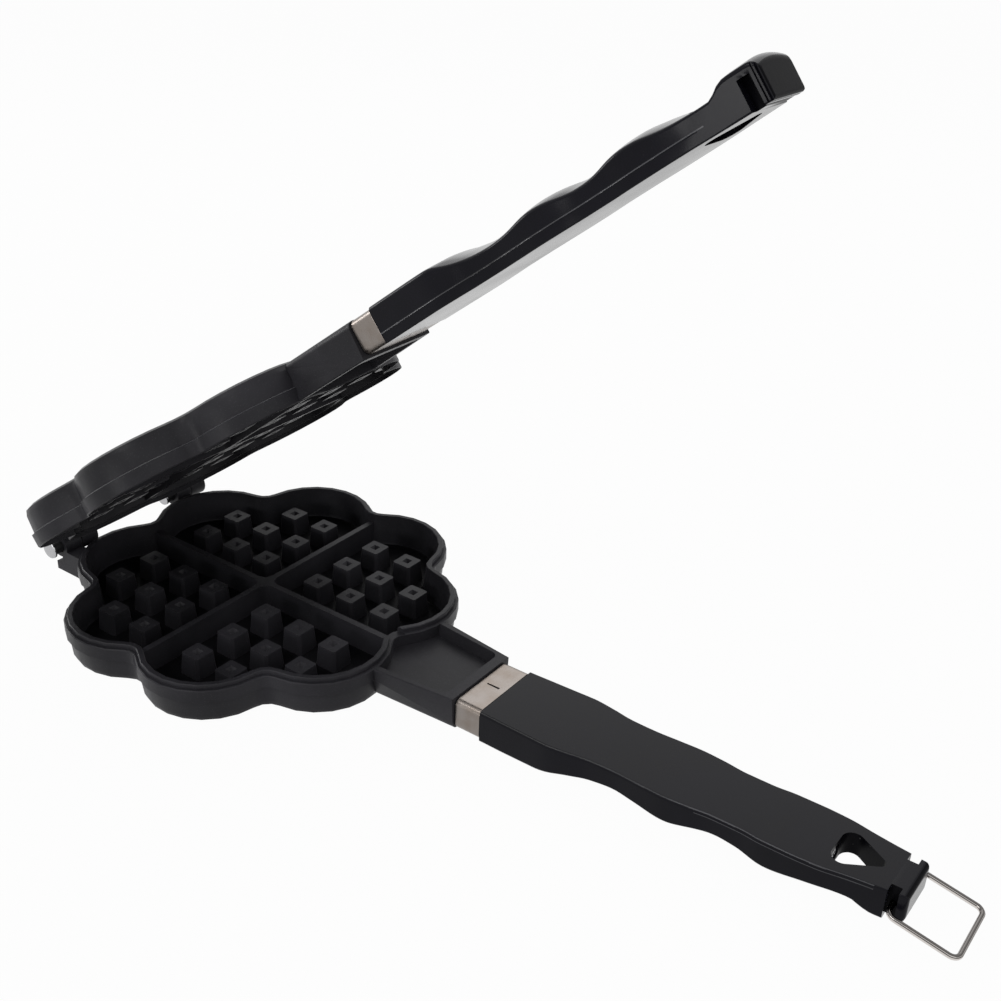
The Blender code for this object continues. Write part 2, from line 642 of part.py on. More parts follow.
def handle_rings(upper, end):
    """Rings of the handle from its root to its rounded end."""
    straight_start = HANDLE_START + SEAT_GAP
    straight_end = end - END_BACK_RADIUS
    rings = [handle_section(HANDLE_START, upper, SEAT_GAP, 0.0)]
    for k in range(HANDLE_STATIONS + 1):
        x = straight_start + (straight_end - straight_start) * k / HANDLE_STATIONS
        rings.append(handle_section(x, upper, 0.0, 0.0))
    for k in range(1, END_STEPS + 1):
        angle = math.pi / 2 * k / END_STEPS
        x = straight_end + END_BACK_RADIUS * math.sin(angle)
        past_edge = max(0.0, (x - end + END_EDGE_RADIUS) / END_EDGE_RADIUS)
        inset = END_EDGE_RADIUS * (1 - math.sqrt(max(0.0, 1 - past_edge ** 2)))
        rings.append(handle_section(x, upper, inset, END_BACK_RADIUS * (1 - math.cos(angle))))
    return rings


def handle(name, upper, parent):
    """A moulded grip with finger waves, hanging hole, screw bore, tang recess and side notches."""
    end = HANDLE_END - (UPPER_END_SETBACK if upper else 0.0)
    notch_at = end - (UPPER_NOTCH_SETBACK if upper else NOTCH_SETBACK)
    grip = loft(name, handle_rings(upper, end), PARTS, parent)

    spread = HOLE_HALF_WIDTH - HOLE_CORNER_RADIUS
    circles = [(HOLE_BACK + HOLE_CORNER_RADIUS, side * spread, HOLE_CORNER_RADIUS) for side in (-1, 1)]
    circles.append((HOLE_TIP - HOLE_TIP_RADIUS, 0.0, HOLE_TIP_RADIUS))
    deep = HANDLE_ROOT_SETBACK + GRIP_THICKNESS + OVERRUN
    rings = [[(x, y, depth) for x, y in belt(circles, HOLE_STEPS)] for depth in (-OVERRUN, deep)]
    cut(grip, loft(name + "_hole", rings, TOOLS, parent))

    cut(grip, tang_box(name + "_recess", HANDLE_START - OVERRUN, SEAT_GAP, parent))
    cut(grip, rod(name + "_bore", (TANG_END - SEAT_GAP, 0.0, SCREW_DEPTH), HOLE_BACK + OVERRUN - TANG_END,
                  SCREW_RADIUS + SEAT_GAP, 'X', TOOLS, parent))
    seat = HOLE_BACK - SCREW_RECESS - SCREW_HEAD_HEIGHT - SEAT_GAP
    cut(grip, rod(name + "_counterbore", (seat, 0.0, SCREW_DEPTH), HOLE_BACK + OVERRUN - seat,
                  SCREW_HEAD_RADIUS + SEAT_GAP, 'X', TOOLS, parent))

    notch_half = grip_half_width(notch_at) - NOTCH_DEPTH
    outer = notch_half + NOTCH_DEPTH + OVERRUN
    for side, where in ((-1, "_near"), (1, "_far")):
        low, high = sorted((side * notch_half, side * outer))
        cut(grip, box(name + "_notch" + where, (notch_at - NOTCH_WIDTH / 2, low, -OVERRUN),
                      (notch_at + NOTCH_WIDTH / 2, high, deep), TOOLS, parent))
        if upper:
            slot = end - END_SLOT_SETBACK
            low, high = sorted((side * (grip_half_width(slot) - END_SLOT_DEPTH), side * outer))
            cut(grip, box(name + "_slot" + where, (slot, low, -OVERRUN),
                          (slot + END_SLOT_WIDTH, high, deep), TOOLS, parent))
        else:
            inner = notch_half - BAIL_GRIP - WIRE_CLEARANCE
            start = inner if side > 0 else -outer
            cut(grip, rod(name + "_wire_hole" + where, (notch_at, start, BAIL_DEPTH), outer - inner,
                          WIRE_RADIUS + WIRE_CLEARANCE, 'Y', TOOLS, parent))
    finish(grip, (0.012, 0.012, 0.013), 0.3, 0.0)
    soften(grip)
    return grip


def handle_screw(name, parent):
    """The long screw that draws the handle onto the tang, with a low round head."""
    head = SCREW_HEAD_RADIUS
    tip = TANG_END - TANG_BORE_LENGTH + SCREW_TIP_SETBACK
    seat = HOLE_BACK - SCREW_RECESS - SCREW_HEAD_HEIGHT
    shank = seat - tip
    crown = SCREW_HEAD_HEIGHT / 2
    profile = [
        (0.0, shank + SCREW_HEAD_HEIGHT),
        (head / 2, shank + SCREW_HEAD_HEIGHT - crown / 4),
        (head, shank + crown),
        (head, shank),
        (SCREW_RADIUS, shank),
        (SCREW_RADIUS, SCREW_RADIUS / 2),
        (SCREW_RADIUS / 2, 0.0),
        (0.0, 0.0),
    ]
    screw = turned(name, profile, (tip, 0.0, SCREW_DEPTH), 'X', PARTS, parent)
    finish(screw, (0.45, 0.45, 0.46), 0.3, 1.0)
    soften(screw)
    return screw


def hinge_pin(name, side):
    """A pin through both knuckles of one hinge, standing out towards the near side."""
    length = 2 * KNUCKLE_LENGTH + KNUCKLE_GAP + PIN_PROTRUSION
    start = side * HINGE_SPREAD - KNUCKLE_LENGTH - KNUCKLE_GAP / 2 - PIN_PROTRUSION
    profile = [
        (0.0, length),
        (PIN_RADIUS - PIN_CHAMFER, length),
        (PIN_RADIUS, length - PIN_CHAMFER),
        (PIN_RADIUS, PIN_CHAMFER),
        (PIN_RADIUS - PIN_CHAMFER, 0.0),
        (0.0, 0.0),
    ]
    pin = turned(name, profile, (-HINGE_REACH, start, PLATE_DEPTH + HINGE_RISE), 'Y', PARTS)
    finish(pin, (0.62, 0.62, 0.62), 0.22, 1.0)
    soften(pin)
    return pin


def bail_points():
    """The wire's centre line about its pivot, from one inner end round to the other."""
    inner = grip_half_width(BAIL_X) - NOTCH_DEPTH - BAIL_GRIP
    half = BAIL_HALF_WIDTH
    radius = BAIL_CORNER_RADIUS
    side = [(0.0, inner), (0.0, half - radius)]
    for k in range(1, BEND_STEPS + 1):
        angle = math.pi / 2 * k / BEND_STEPS
        side.append((radius * (1 - math.cos(angle)), half - radius + radius * math.sin(angle)))
    for k in range(BEND_STEPS + 1):
        angle = math.pi / 2 * k / BEND_STEPS
        side.append((BAIL_LENGTH - radius * (1 - math.sin(angle)), half - radius * (1 - math.cos(angle))))
    return side + [(x, -y) for x, y in reversed(side)]


def bail(name, pivot):
    """The wire loop as a tube, made a mesh with welded caps, hung on its pivot."""
    curve = bpy.data.curves.new(name + "_wire", 'CURVE')
    curve.dimensions = '3D'
    curve.bevel_depth = WIRE_RADIUS
    curve.bevel_resolution = 2
    curve.use_fill_caps = True
    points = bail_points()
    spline = curve.splines.new('POLY')
    spline.points.add(len(points) - 1)
    for point, (x, y) in zip(spline.points, points):
        point.co = (x, y, 0.0, 1.0)
    guide = bpy.data.objects.new(name + "_wire", curve)
    TOOLS.objects.link(guide)
    bpy.context.view_layer.update()
    mesh = bpy.data.meshes.new_from_object(guide.evaluated_get(bpy.context.evaluated_depsgraph_get()))
    build = bmesh.new()
    build.from_mesh(mesh)
    bmesh.ops.remove_doubles(build, verts=build.verts, dist=WELD)
    bmesh.ops.recalc_face_normals(build, faces=build.faces)
    build.to_mesh(mesh)
    build.free()
    bpy.data.objects.remove(guide)
    loop = bpy.data.objects.new(name, mesh)
    PARTS.objects.link(loop)
    loop.parent = pivot
    finish(loop, (0.60, 0.59, 0.58), 0.2, 1.0)
    soften(loop)
    return loop


def add_empty(name, location, rotation):
    empty = bpy.data.objects.new(name, None)
    empty.location = location
    empty.rotation_euler = rotation
    bpy.context.scene.collection.objects.link(empty)
    return empty


for old in list(bpy.data.objects):
    bpy.data.objects.remove(old, do_unlink=True)

PARTS = new_collection("heart_waffle_iron")
TOOLS = new_collection("cutters")

lower_half = add_empty("lower_half", (0.0, 0.0, PLATE_DEPTH), (math.pi, 0.0, 0.0))
upper_half = add_empty("upper_half", (-HINGE_REACH, 0.0, PLATE_DEPTH + HINGE_RISE),
                       (0.0, -math.radians(OPEN_DEG), 0.0))
bail_pivot = add_empty("bail_pivot", (BAIL_X, 0.0, PLATE_DEPTH - BAIL_DEPTH),
                       (0.0, math.radians(BAIL_DROOP_DEG), 0.0))
HALF_OFFSETS = {
    "lower_half": (0.0, 0.0, 0.0),
    "upper_half": (HINGE_REACH, 0.0, -HINGE_RISE),
}

for half_name, is_upper, half_empty in (("lower", False, lower_half), ("upper", True, upper_half)):
    casting(half_name + "_plate", is_upper, half_empty)
    ferrule(half_name + "_ferrule", half_empty)
    handle(half_name + "_handle", is_upper, half_empty)
    handle_screw(half_name + "_handle_screw", half_empty)
hinge_pin("hinge_pin_near", -1)
hinge_pin("hinge_pin_far", 1)
bail("bail", bail_pivot)
bpy.context.view_layer.update()
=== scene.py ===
"""A heart waffle iron, dressed for rendering: cast plates, moulded handles, steel trim and a wire bail.

Run as a script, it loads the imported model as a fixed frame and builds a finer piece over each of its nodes.
"""
import json
import math

import bmesh
import bpy
from mathutils import Matrix, Vector


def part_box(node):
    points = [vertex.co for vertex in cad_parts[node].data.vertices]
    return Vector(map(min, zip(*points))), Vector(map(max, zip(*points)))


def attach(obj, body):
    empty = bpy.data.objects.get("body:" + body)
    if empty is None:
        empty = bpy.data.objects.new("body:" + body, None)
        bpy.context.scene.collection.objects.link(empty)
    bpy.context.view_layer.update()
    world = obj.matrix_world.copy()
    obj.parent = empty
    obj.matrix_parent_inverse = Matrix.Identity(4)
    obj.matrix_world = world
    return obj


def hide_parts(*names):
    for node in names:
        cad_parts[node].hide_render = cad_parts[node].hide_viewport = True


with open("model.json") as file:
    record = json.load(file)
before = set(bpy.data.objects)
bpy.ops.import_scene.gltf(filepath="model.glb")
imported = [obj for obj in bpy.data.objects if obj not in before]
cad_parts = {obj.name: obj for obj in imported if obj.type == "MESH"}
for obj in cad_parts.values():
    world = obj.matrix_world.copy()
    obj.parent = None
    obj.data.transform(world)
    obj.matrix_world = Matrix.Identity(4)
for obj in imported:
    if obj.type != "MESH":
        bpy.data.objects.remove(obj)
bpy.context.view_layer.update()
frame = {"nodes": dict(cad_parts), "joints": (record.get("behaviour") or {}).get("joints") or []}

bl_info = {
    "name": "Heart waffle iron",
    "version": (1, 0, 0),
    "blender": (4, 5, 0),
    "location": "View3D > Sidebar > Waffle iron",
    "description": "Models a hinged heart waffle iron with waved handles, ferrules and a wire bail",
    "category": "Object",
}

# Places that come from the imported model
JOINTS = {joint["name"]: joint for joint in frame["joints"]}
HINGE_AXIS = Vector(JOINTS["plate_hinge"]["pos_m"])
OPEN_ANGLE = math.radians(-JOINTS["plate_hinge"]["range_deg"][0])
BAIL_PIVOT = Vector(JOINTS["bail_swing"]["pos_m"])
PLATE_DEPTH = 0.0167
HINGE_REACH = -HINGE_AXIS.x
HINGE_RISE = HINGE_AXIS.z - PLATE_DEPTH
LOWER_PLACE = Matrix.Translation((0.0, 0.0, PLATE_DEPTH)) @ Matrix.Rotation(math.pi, 4, 'X')
UPPER_PLACE = (Matrix.Translation(HINGE_AXIS) @ Matrix.Rotation(-OPEN_ANGLE, 4, 'Y')
               @ Matrix.Translation((HINGE_REACH, 0.0, -HINGE_RISE)))

# What the two halves don't share: the lower half's value, then the upper half's
HALVES = ("lower", "upper")
PLACES = (LOWER_PLACE, UPPER_PLACE)
SHORTER_BY = (0.0, 0.0015)
END_SETBACKS = (0.0006, 0.0019)
END_EDGE_ROUNDINGS = (0.0016, 0.0012)
BEAD_DEPTHS = (0.0015, 0.0038)
BEAD_RISES = (0.00012, 0.00026)
NOTCH_SETBACKS = (0.0052, 0.0053)
NOTCH_DEPTHS = (0.0036, 0.0030)
NOTCH_HALF_WIDTHS = (0.0019, 0.0021)

# Handle: its form follows shares of the grip's largest width and thickness, from root to end
HANDLE_START = 0.1320
HANDLE_LENGTH = 0.1680
ROOT_SETBACK = 0.0018
END_ROUNDING = 0.0036
WIDTH_SHARES = (
    (0.0, 0.950), (0.060, 0.967), (0.119, 0.983), (0.179, 1.0), (0.236, 0.939), (0.293, 0.856),
    (0.352, 0.840), (0.412, 0.867), (0.469, 0.890), (0.525, 0.856), (0.585, 0.790), (0.645, 0.785),
    (0.704, 0.829), (0.758, 0.829), (0.818, 0.800), (0.878, 0.707), (0.920, 0.650), (0.955, 0.610),
    (1.0, 0.560),
)
LOWER_THICKNESS = (
    (0.0, 1.0), (0.155, 0.958), (0.245, 0.751), (0.300, 0.645), (0.352, 0.594), (0.400, 0.654),
    (0.484, 0.778), (0.549, 0.646), (0.600, 0.577), (0.642, 0.629), (0.716, 0.783), (0.794, 0.666),
    (0.848, 0.619), (0.890, 0.645), (0.918, 0.800), (0.940, 0.870), (1.0, 0.880),
)
UPPER_THICKNESS = (
    (0.0, 0.969), (0.10, 0.963), (0.18, 0.952), (0.20, 0.930), (0.22, 0.855), (0.24, 0.779), (0.26, 0.718),
    (0.28, 0.673), (0.30, 0.639), (0.32, 0.619), (0.35, 0.607), (0.38, 0.618), (0.40, 0.640), (0.42, 0.674),
    (0.44, 0.716), (0.46, 0.746), (0.48, 0.757), (0.50, 0.746), (0.52, 0.719), (0.54, 0.677), (0.56, 0.636),
    (0.58, 0.612), (0.60, 0.609), (0.62, 0.623), (0.64, 0.663), (0.66, 0.716), (0.68, 0.754), (0.71, 0.773),
    (0.74, 0.755), (0.76, 0.716), (0.78, 0.675), (0.80, 0.646), (0.83, 0.625), (0.86, 0.625), (0.888, 0.632),
    (0.90, 0.700), (0.92, 0.840), (0.94, 0.856), (1.0, 0.856),
)
# The upper handle's back is crowned: its rise at mid-width, but none where the locked bail crosses it
UPPER_CROWN = (
    (0.0, 0.0012), (0.19, 0.0012), (0.22, 0.0020), (0.28, 0.0024), (0.35, 0.0021), (0.44, 0.0023),
    (0.54, 0.0024), (0.60, 0.0021), (0.68, 0.0021), (0.78, 0.0024), (0.83, 0.0014), (0.86, 0.0),
    (0.90, 0.0), (0.925, 0.0013), (1.0, 0.0016),
)
BEAD_HALF_WIDTH = 0.0004
# The bead fades out over the last part of this share of the handle's length
BEAD_END, BEAD_FADE = 0.87, 0.04
SECTION_STEPS = 84
# A distance too small to see, for comparing places
HAIR = 0.00001

# Hanging hole, notches and screw of the handle
HOLE_TIP = HANDLE_START + HANDLE_LENGTH - 0.0120
HOLE_BACK = HOLE_TIP - 0.0172
HOLE_HALF_WIDTH = 0.0085
HOLE_CORNER_RADIUS = 0.0041
HOLE_TIP_RADIUS = 0.0023
HOLE_MARGIN = 0.0003
HOLE_CUT_LENGTH = 0.03
CUT_OVERRUN = 0.01
NOTCH_BACK_WALL = 0.0008
SLOT_SETBACKS, SLOT_WIDTH, SLOT_DEPTH = (0.0023, 0.0012), 0.0006, 0.0008
WIRE_BORE_RADIUS, WIRE_BORE_LENGTH, WIRE_BORE_DEPTH = 0.00125, 0.0074, 0.0080
SCREW_DEPTH = 0.0057
SCREW_SEAT_RADIUS = 0.0034
SCREW_TIP, SCREW_SEAT = 0.1387, HOLE_BACK - 0.0028
SCREW_RADIUS, SCREW_HEAD_RADIUS, SCREW_HEAD_HEIGHT = 0.0020, 0.0030, 0.0024
SCREW_SLOT_LENGTH, SCREW_SLOT_WIDTH = 0.0020, 0.00035

# Castings, in the half's own frame: along the handle, across, and down from the meeting plane
CAVITY_DEPTH = 0.0132
FLANGE_CORNER_DEPTH = 0.0060
PLATE_INNER_REACH = 0.045
NECK_ENDS = (0.0631, 0.1197)
NECK_HALF_WIDTHS = (0.0254, 0.0189)
POCKET_END = 0.1155
POCKET_DEPTH = 0.0060
THIN_RIM_START, THIN_RIM_RUN, THIN_RIM_SHIFT = 0.080, 0.020, 0.0013
STUD_CENTRES = tuple(0.0162 + k * 0.0195 for k in range(3))
STUD_SETBACK = 0.0036
STUD_REACH = 0.0053
# The web under the near knuckle: the lowest and highest corner of each block
WEB_BLOCKS = (
    ((-0.0884, -0.0333, 0.0080), (-0.0795, -0.0220, 0.0112)),
    ((-0.0822, -0.0333, 0.0080), (-0.0790, -0.0205, 0.0150)),
)

# Ferrules, pins and bail: of two values for a pin, the near one's comes first
FERRULE_START, FERRULE_END = 0.1200, 0.1317
FERRULE_HALF_WIDTH, FERRULE_TOP, FERRULE_BASE = 0.01705, 0.0019, 0.0156
FERRULE_CORNER = 0.0028
SLIT_HALF_LENGTH, SLIT_HALF_WIDTH = 0.0029, 0.0004
PIN_HEAD_RADII = (0.0043, 0.0038)
PIN_HEAD_HEIGHT = 0.0014
PIN_BARE_ENDS = (-0.0467, 0.0192)
BAIL_DROOP = math.radians(10.6)
BAIL_LENGTH, BAIL_BEND, BAIL_INNER_END = 0.0249, 0.0030, 0.0055

# Stage: each lamp's place, the point it faces, its width and its height
LAMPS = {
    "key": ((-0.45, 0.75, 0.95), (0.05, 0.0, 0.05), 1.4, 1.0),
    "fill": ((0.9, -0.5, 0.8), (0.05, 0.0, 0.05), 0.9, 0.9),
    "edge": ((-0.12, -0.84, 0.93), (0.10, 0.0, 0.02), 0.8, 0.2),
    "front": ((-0.05, -1.20, 0.22), (0.15, 0.0, 0.15), 0.35, 0.25),
    "side": ((-1.3, -0.30, 0.32), (0.10, 0.0, 0.10), 0.3, 0.4),
}
FLOOR_SIZE, FLOOR_GAP, FLOOR_WHITE_SHARE = 8.0, 0.0002, 0.97
CAMERA_PLACE = Vector((0.367790, -0.346613, 0.321688))
CAMERA_ANGLES = (34.9503, 27.8903, 2.3794)
CAMERA_LENS = 46.934


def colour_property(name, description, default):
    return bpy.props.FloatVectorProperty(name=name, description=description, default=default, size=3,
                                         subtype='COLOR', min=0.0, max=1.0)


def length_property(name, description, default, low, high):
    return bpy.props.FloatProperty(name=name, description=description, default=default, min=low, max=high,
                                   unit='LENGTH', precision=5)


def power_property(name, description, default):
    return bpy.props.FloatProperty(name=name, description=description, default=default, min=0.0, max=50.0,
                                   unit='POWER')


class CastingLook(bpy.types.PropertyGroup):
    coating: colour_property("Coating colour", "Colour of the non-stick coating", (0.0160, 0.0156, 0.0180))
    worn: colour_property("Worn colour", "Colour where the coating is rubbed paler", (0.030, 0.029, 0.034))
    edge_round: length_property("Edge rounding", "Radius left on the casting's edges", 0.0003, 0.0001, 0.0006)


class HandleLook(bpy.types.PropertyGroup):
    grip_width: length_property("Grip width", "Width of the handle at its widest place", 0.0362, 0.03, 0.04)
    grip_thickness: length_property("Grip thickness", "Thickness of the handle at its root",
                                    0.0145, 0.012, 0.017)
    back_corner: length_property("Back corner", "Radius of the long edges on the handle's back",
                                 0.0014, 0.0005, 0.003)
    face_step: length_property("Face step", "Width of the fine step along the edges of the flat face",
                      0.0007, 0.0004, 0.0012)
    plastic: colour_property("Plastic colour", "Colour of the moulded handle", (0.0045, 0.0043, 0.0070))
    # Colour of the pale highlight painted along the edge beside the flat face and along the bead.
    painted_highlight: colour_property("Rubbed colour", "Colour of the handle's rubbed edges and seams",
                            (0.055, 0.055, 0.062))


class SteelLook(bpy.types.PropertyGroup):
    ferrule: colour_property("Ferrule colour", "Colour of the rolled steel ferrules", (0.24, 0.216, 0.200))
    sheet: length_property("Sheet thickness", "Thickness of the ferrule's sheet", 0.0007, 0.0004, 0.001)
    pin: colour_property("Pin colour", "Colour of the hinge pins and screws", (0.44, 0.44, 0.45))
    wire: colour_property("Wire colour", "Colour of the bail's drawn wire", (0.50, 0.47, 0.45))
    wire_radius: length_property("Wire radius", "Radius of the bail's wire", 0.001, 0.0008, 0.0012)


class StageLook(bpy.types.PropertyGroup):
    floor: colour_property("Floor colour", "Colour of the plain floor", (0.60, 0.60, 0.60))
    sky: bpy.props.FloatProperty(
        name="Room light", description="Strength of the even light from all round", default=0.34,
        min=0.0, max=1.0)
    key: power_property("Key lamp", "Power of the large soft lamp above", 4.6)
    fill: power_property("Fill lamp", "Power of the soft lamp beside the camera", 2.0)
    edge: power_property("Edge lamp", "Power of the narrow lamp that draws light along the long edges", 3.0)
    front: power_property("Front lamp", "Power of the low lamp in front, which shows the waves of the grips",
                          2.0)
    side: power_property("Side lamp", "Power of the low lamp behind the hinge", 3.0)


class WaffleIronLook(bpy.types.PropertyGroup):
    casting: bpy.props.PointerProperty(type=CastingLook)
    handle: bpy.props.PointerProperty(type=HandleLook)
    steel: bpy.props.PointerProperty(type=SteelLook)
    stage: bpy.props.PointerProperty(type=StageLook)


def add_object(name, data):
    """Puts a new object with this data in the scene."""
    item = bpy.data.objects.new(name, data)
    bpy.context.scene.collection.objects.link(item)
    return item


def deselect_all():
    bpy.ops.object.select_all(action='DESELECT')


def select_all():
    """In edit mode, selects the whole mesh."""
    bpy.ops.mesh.select_all(action='SELECT')


def extrude(x, y, z):
    """In edit mode, draws what is selected out along a vector."""
    bpy.ops.mesh.extrude_region_move(TRANSFORM_OT_translate={"value": (x, y, z)})


def resize(value, centre):
    """In edit mode, resizes what is selected about a point."""
    bpy.ops.transform.resize(value=value, center_override=centre)


def make_active(piece):
    deselect_all()
    piece.select_set(True)
    bpy.context.view_layer.objects.active = piece


def enter_edit(piece, kind):
    make_active(piece)
    bpy.ops.object.mode_set(mode='EDIT')
    bpy.ops.mesh.select_mode(type=kind)


def leave_edit():
    bpy.ops.object.mode_set(mode='OBJECT')


def pick(piece, kind, test):
    """In edit mode, selects just the vertices, edges or faces of the mesh that pass the test."""
    bpy.ops.mesh.select_all(action='DESELECT')
    build = bmesh.from_edit_mesh(piece.data)
    found = 0
    for part in {'VERT': build.verts, 'EDGE': build.edges, 'FACE': build.faces}[kind]:
        if test(part):
            part.select_set(True)
            found += 1
    bmesh.update_edit_mesh(piece.data)
    return found


def middle(edge):
    return (edge.verts[0].co + edge.verts[1].co) / 2


def apply_modifier(piece, name, kind, **values):
    make_active(piece)
    modifier = piece.modifiers.new(name, kind)
    for key, value in values.items():
        setattr(modifier, key, value)
    bpy.ops.object.modifier_apply(modifier=name)


def carve(piece, cutter):
    """Takes the cutter's shape out of the piece, then removes the cutter."""
    apply_modifier(piece, "Carve", 'BOOLEAN', object=cutter, operation='DIFFERENCE', solver='EXACT')
    bpy.data.objects.remove(cutter)


def new_piece(name):
    """Names the primitive that was just added and applies its place."""
    piece = bpy.context.view_layer.objects.active
    piece.name = name
    piece.data.name = name
    bpy.ops.object.transform_apply(location=True, rotation=True, scale=True)
    return piece


def block(name, low, high):
    """A box between two corners, from a cube."""
    low, high = Vector(low), Vector(high)
    deselect_all()
    bpy.ops.mesh.primitive_cube_add(size=1.0, location=(low + high) / 2)
    bpy.context.view_layer.objects.active.scale = high - low
    return new_piece(name)


def drum(name, centre, radius, length, axis, sides=48):
    """A round bar centred on a point, along X, Y or Z."""
    turn = {'X': (0.0, math.pi / 2, 0.0), 'Y': (math.pi / 2, 0.0, 0.0), 'Z': (0.0, 0.0, 0.0)}[axis]
    deselect_all()
    bpy.ops.mesh.primitive_cylinder_add(vertices=sides, radius=radius, depth=length,
                                        location=centre, rotation=turn)
    return new_piece(name)


def upright_plate(name, x, middle_depth, width, tall):
    """A rectangle square to the handle's line, from which a section is drawn out."""
    deselect_all()
    bpy.ops.mesh.primitive_plane_add(size=1.0, location=(x, 0.0, middle_depth),
                                     rotation=(0.0, math.pi / 2, 0.0))
    bpy.context.view_layer.objects.active.scale = (tall, width, 1.0)
    return new_piece(name)


def settle(piece, place):
    """Moves the piece from its half's own frame to its place on the iron."""
    make_active(piece)
    piece.matrix_world = place
    bpy.ops.object.transform_apply(location=True, rotation=True, scale=True)


def smooth(piece, angle):
    make_active(piece)
    bpy.ops.object.shade_smooth_by_angle(angle=math.radians(angle))


def round_edges(piece, radius, sharp=40.0, smooth_below=35.0):
    """Rounds the sharp edges, and lets the large flat faces set the shading beside them."""
    apply_modifier(piece, "Edges", 'BEVEL', width=radius, segments=2, limit_method='ANGLE',
                   angle_limit=math.radians(sharp), use_clamp_overlap=True, miter_outer='MITER_ARC')
    smooth(piece, smooth_below)
    apply_modifier(piece, "Normals", 'WEIGHTED_NORMAL', mode='FACE_AREA', weight=50, keep_sharp=True)


def hand_over(piece, material, body, node):
    """Gives the finished piece its material and its body, and hides the node that it stands for."""
    piece.data.materials.clear()
    piece.data.materials.append(material)
    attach(piece, body)
    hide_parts(node)


def along_table(table, share):
    """Smooth value between the points of a table of shares, without overshoot."""
    share = min(max(share, table[0][0]), table[-1][0])
    last = len(table) - 2
    k = min(last, max(i for i, row in enumerate(table) if row[0] <= share))

    def slope(i):
        return (table[i + 1][1] - table[i][1]) / (table[i + 1][0] - table[i][0])

    def tangent(i):
        if i == 0 or i > last:
            return 0.0
        before, after = slope(i - 1), slope(i)
        return 0.0 if before * after <= 0 else 2 * before * after / (before + after)

    width = table[k + 1][0] - table[k][0]
    t = (share - table[k][0]) / width
    rise = table[k + 1][1] - table[k][1]
    ease = t * t * (3 - 2 * t)
    pull = width * t * (1 - t) * ((1 - t) * tangent(k) - t * tangent(k + 1))
    return table[k][1] + rise * ease + pull


def shader_group(name, inputs, nodes, outputs):
    """A shader node group, built once.

    Each input has its default. Each node has a label, a type, settings and values for its sockets, and a
    value in words is the label of another node with its output, as in "grain.Fac".
    """
    if name in bpy.data.node_groups:
        return bpy.data.node_groups[name]
    group = bpy.data.node_groups.new(name, 'ShaderNodeTree')
    for label, value in inputs.items():
        kind = 'NodeSocketFloat' if isinstance(value, float) else 'NodeSocketVector'
        socket = group.interface.new_socket(name=label, in_out='INPUT', socket_type=kind)
        if value is not None:
            socket.default_value = value
    for label in outputs:
        group.interface.new_socket(name=label, in_out='OUTPUT', socket_type='NodeSocketFloat')
    built = {"start": group.nodes.new('NodeGroupInput')}
    for label, kind, settings, values in (*nodes, ("end", 'NodeGroupOutput', {}, outputs)):
        node = built[label] = group.nodes.new(kind)
        for key, value in settings.items():
            setattr(node, key, value)
        for key, value in values.items():
            if isinstance(value, str):
                source, output = value.split(".")
                group.links.new(built[source].outputs[output], node.inputs[key])
            else:
                node.inputs[key].default_value = value
    return group


def fine_grain_group():
    """The pebbled skin of a sprayed coating: a close grain with a few paler specks."""
    return shader_group(
        "FineGrain", {"Vector": None, "Scale": 1800.0, "Speck Scale": 900.0, "Speck Size": 0.16},
        (("grain", 'ShaderNodeTexNoise', {},
          {"Vector": "start.Vector", "Scale": "start.Scale", "Detail": 3.0, "Roughness": 0.6}),
         ("cells", 'ShaderNodeTexVoronoi', {}, {"Vector": "start.Vector", "Scale": "start.Speck Scale"}),
         ("reach", 'ShaderNodeMapRange', {"interpolation_type": 'SMOOTHSTEP'},
          {"Value": "cells.Distance", "From Max": "start.Speck Size", "To Min": 1.0, "To Max": 0.0})),
        {"Height": "grain.Fac", "Specks": "reach.Result"})


def soft_patches_group():
    """Broad soft patches, for the slow change of gloss and colour that handling leaves."""
    return shader_group(
        "SoftPatches", {"Vector": None, "Scale": 30.0, "Low": 0.35, "High": 0.7},
        (("clouds", 'ShaderNodeTexNoise', {},
          {"Vector": "start.Vector", "Scale": "start.Scale", "Detail": 4.0}),
         ("reach", 'ShaderNodeMapRange', {"interpolation_type": 'SMOOTHSTEP'},
          {"Value": "clouds.Fac", "From Min": "start.Low", "From Max": "start.High"})),
        {"Mask": "reach.Result"})


def drawn_lines_group():
    """Fine lines along one direction, as brushing and drawing leave on steel."""
    return shader_group(
        "DrawnLines", {"Vector": None, "Stretch": (1.0, 1.0, 1.0), "Scale": 900.0},
        (("squeeze", 'ShaderNodeVectorMath', {"operation": 'MULTIPLY'},
          {0: "start.Vector", 1: "start.Stretch"}),
         ("lines", 'ShaderNodeTexNoise', {},
          {"Vector": "squeeze.Vector", "Scale": "start.Scale", "Detail": 5.0, "Roughness": 0.7}),
         ("reach", 'ShaderNodeMapRange', {}, {"Value": "lines.Fac", "From Min": 0.3, "From Max": 0.7})),
        {"Height": "lines.Fac", "Mask": "reach.Result"})


def tinted(shade, share):
    """A colour at a share of its strength."""
    return tuple(value * share for value in shade)


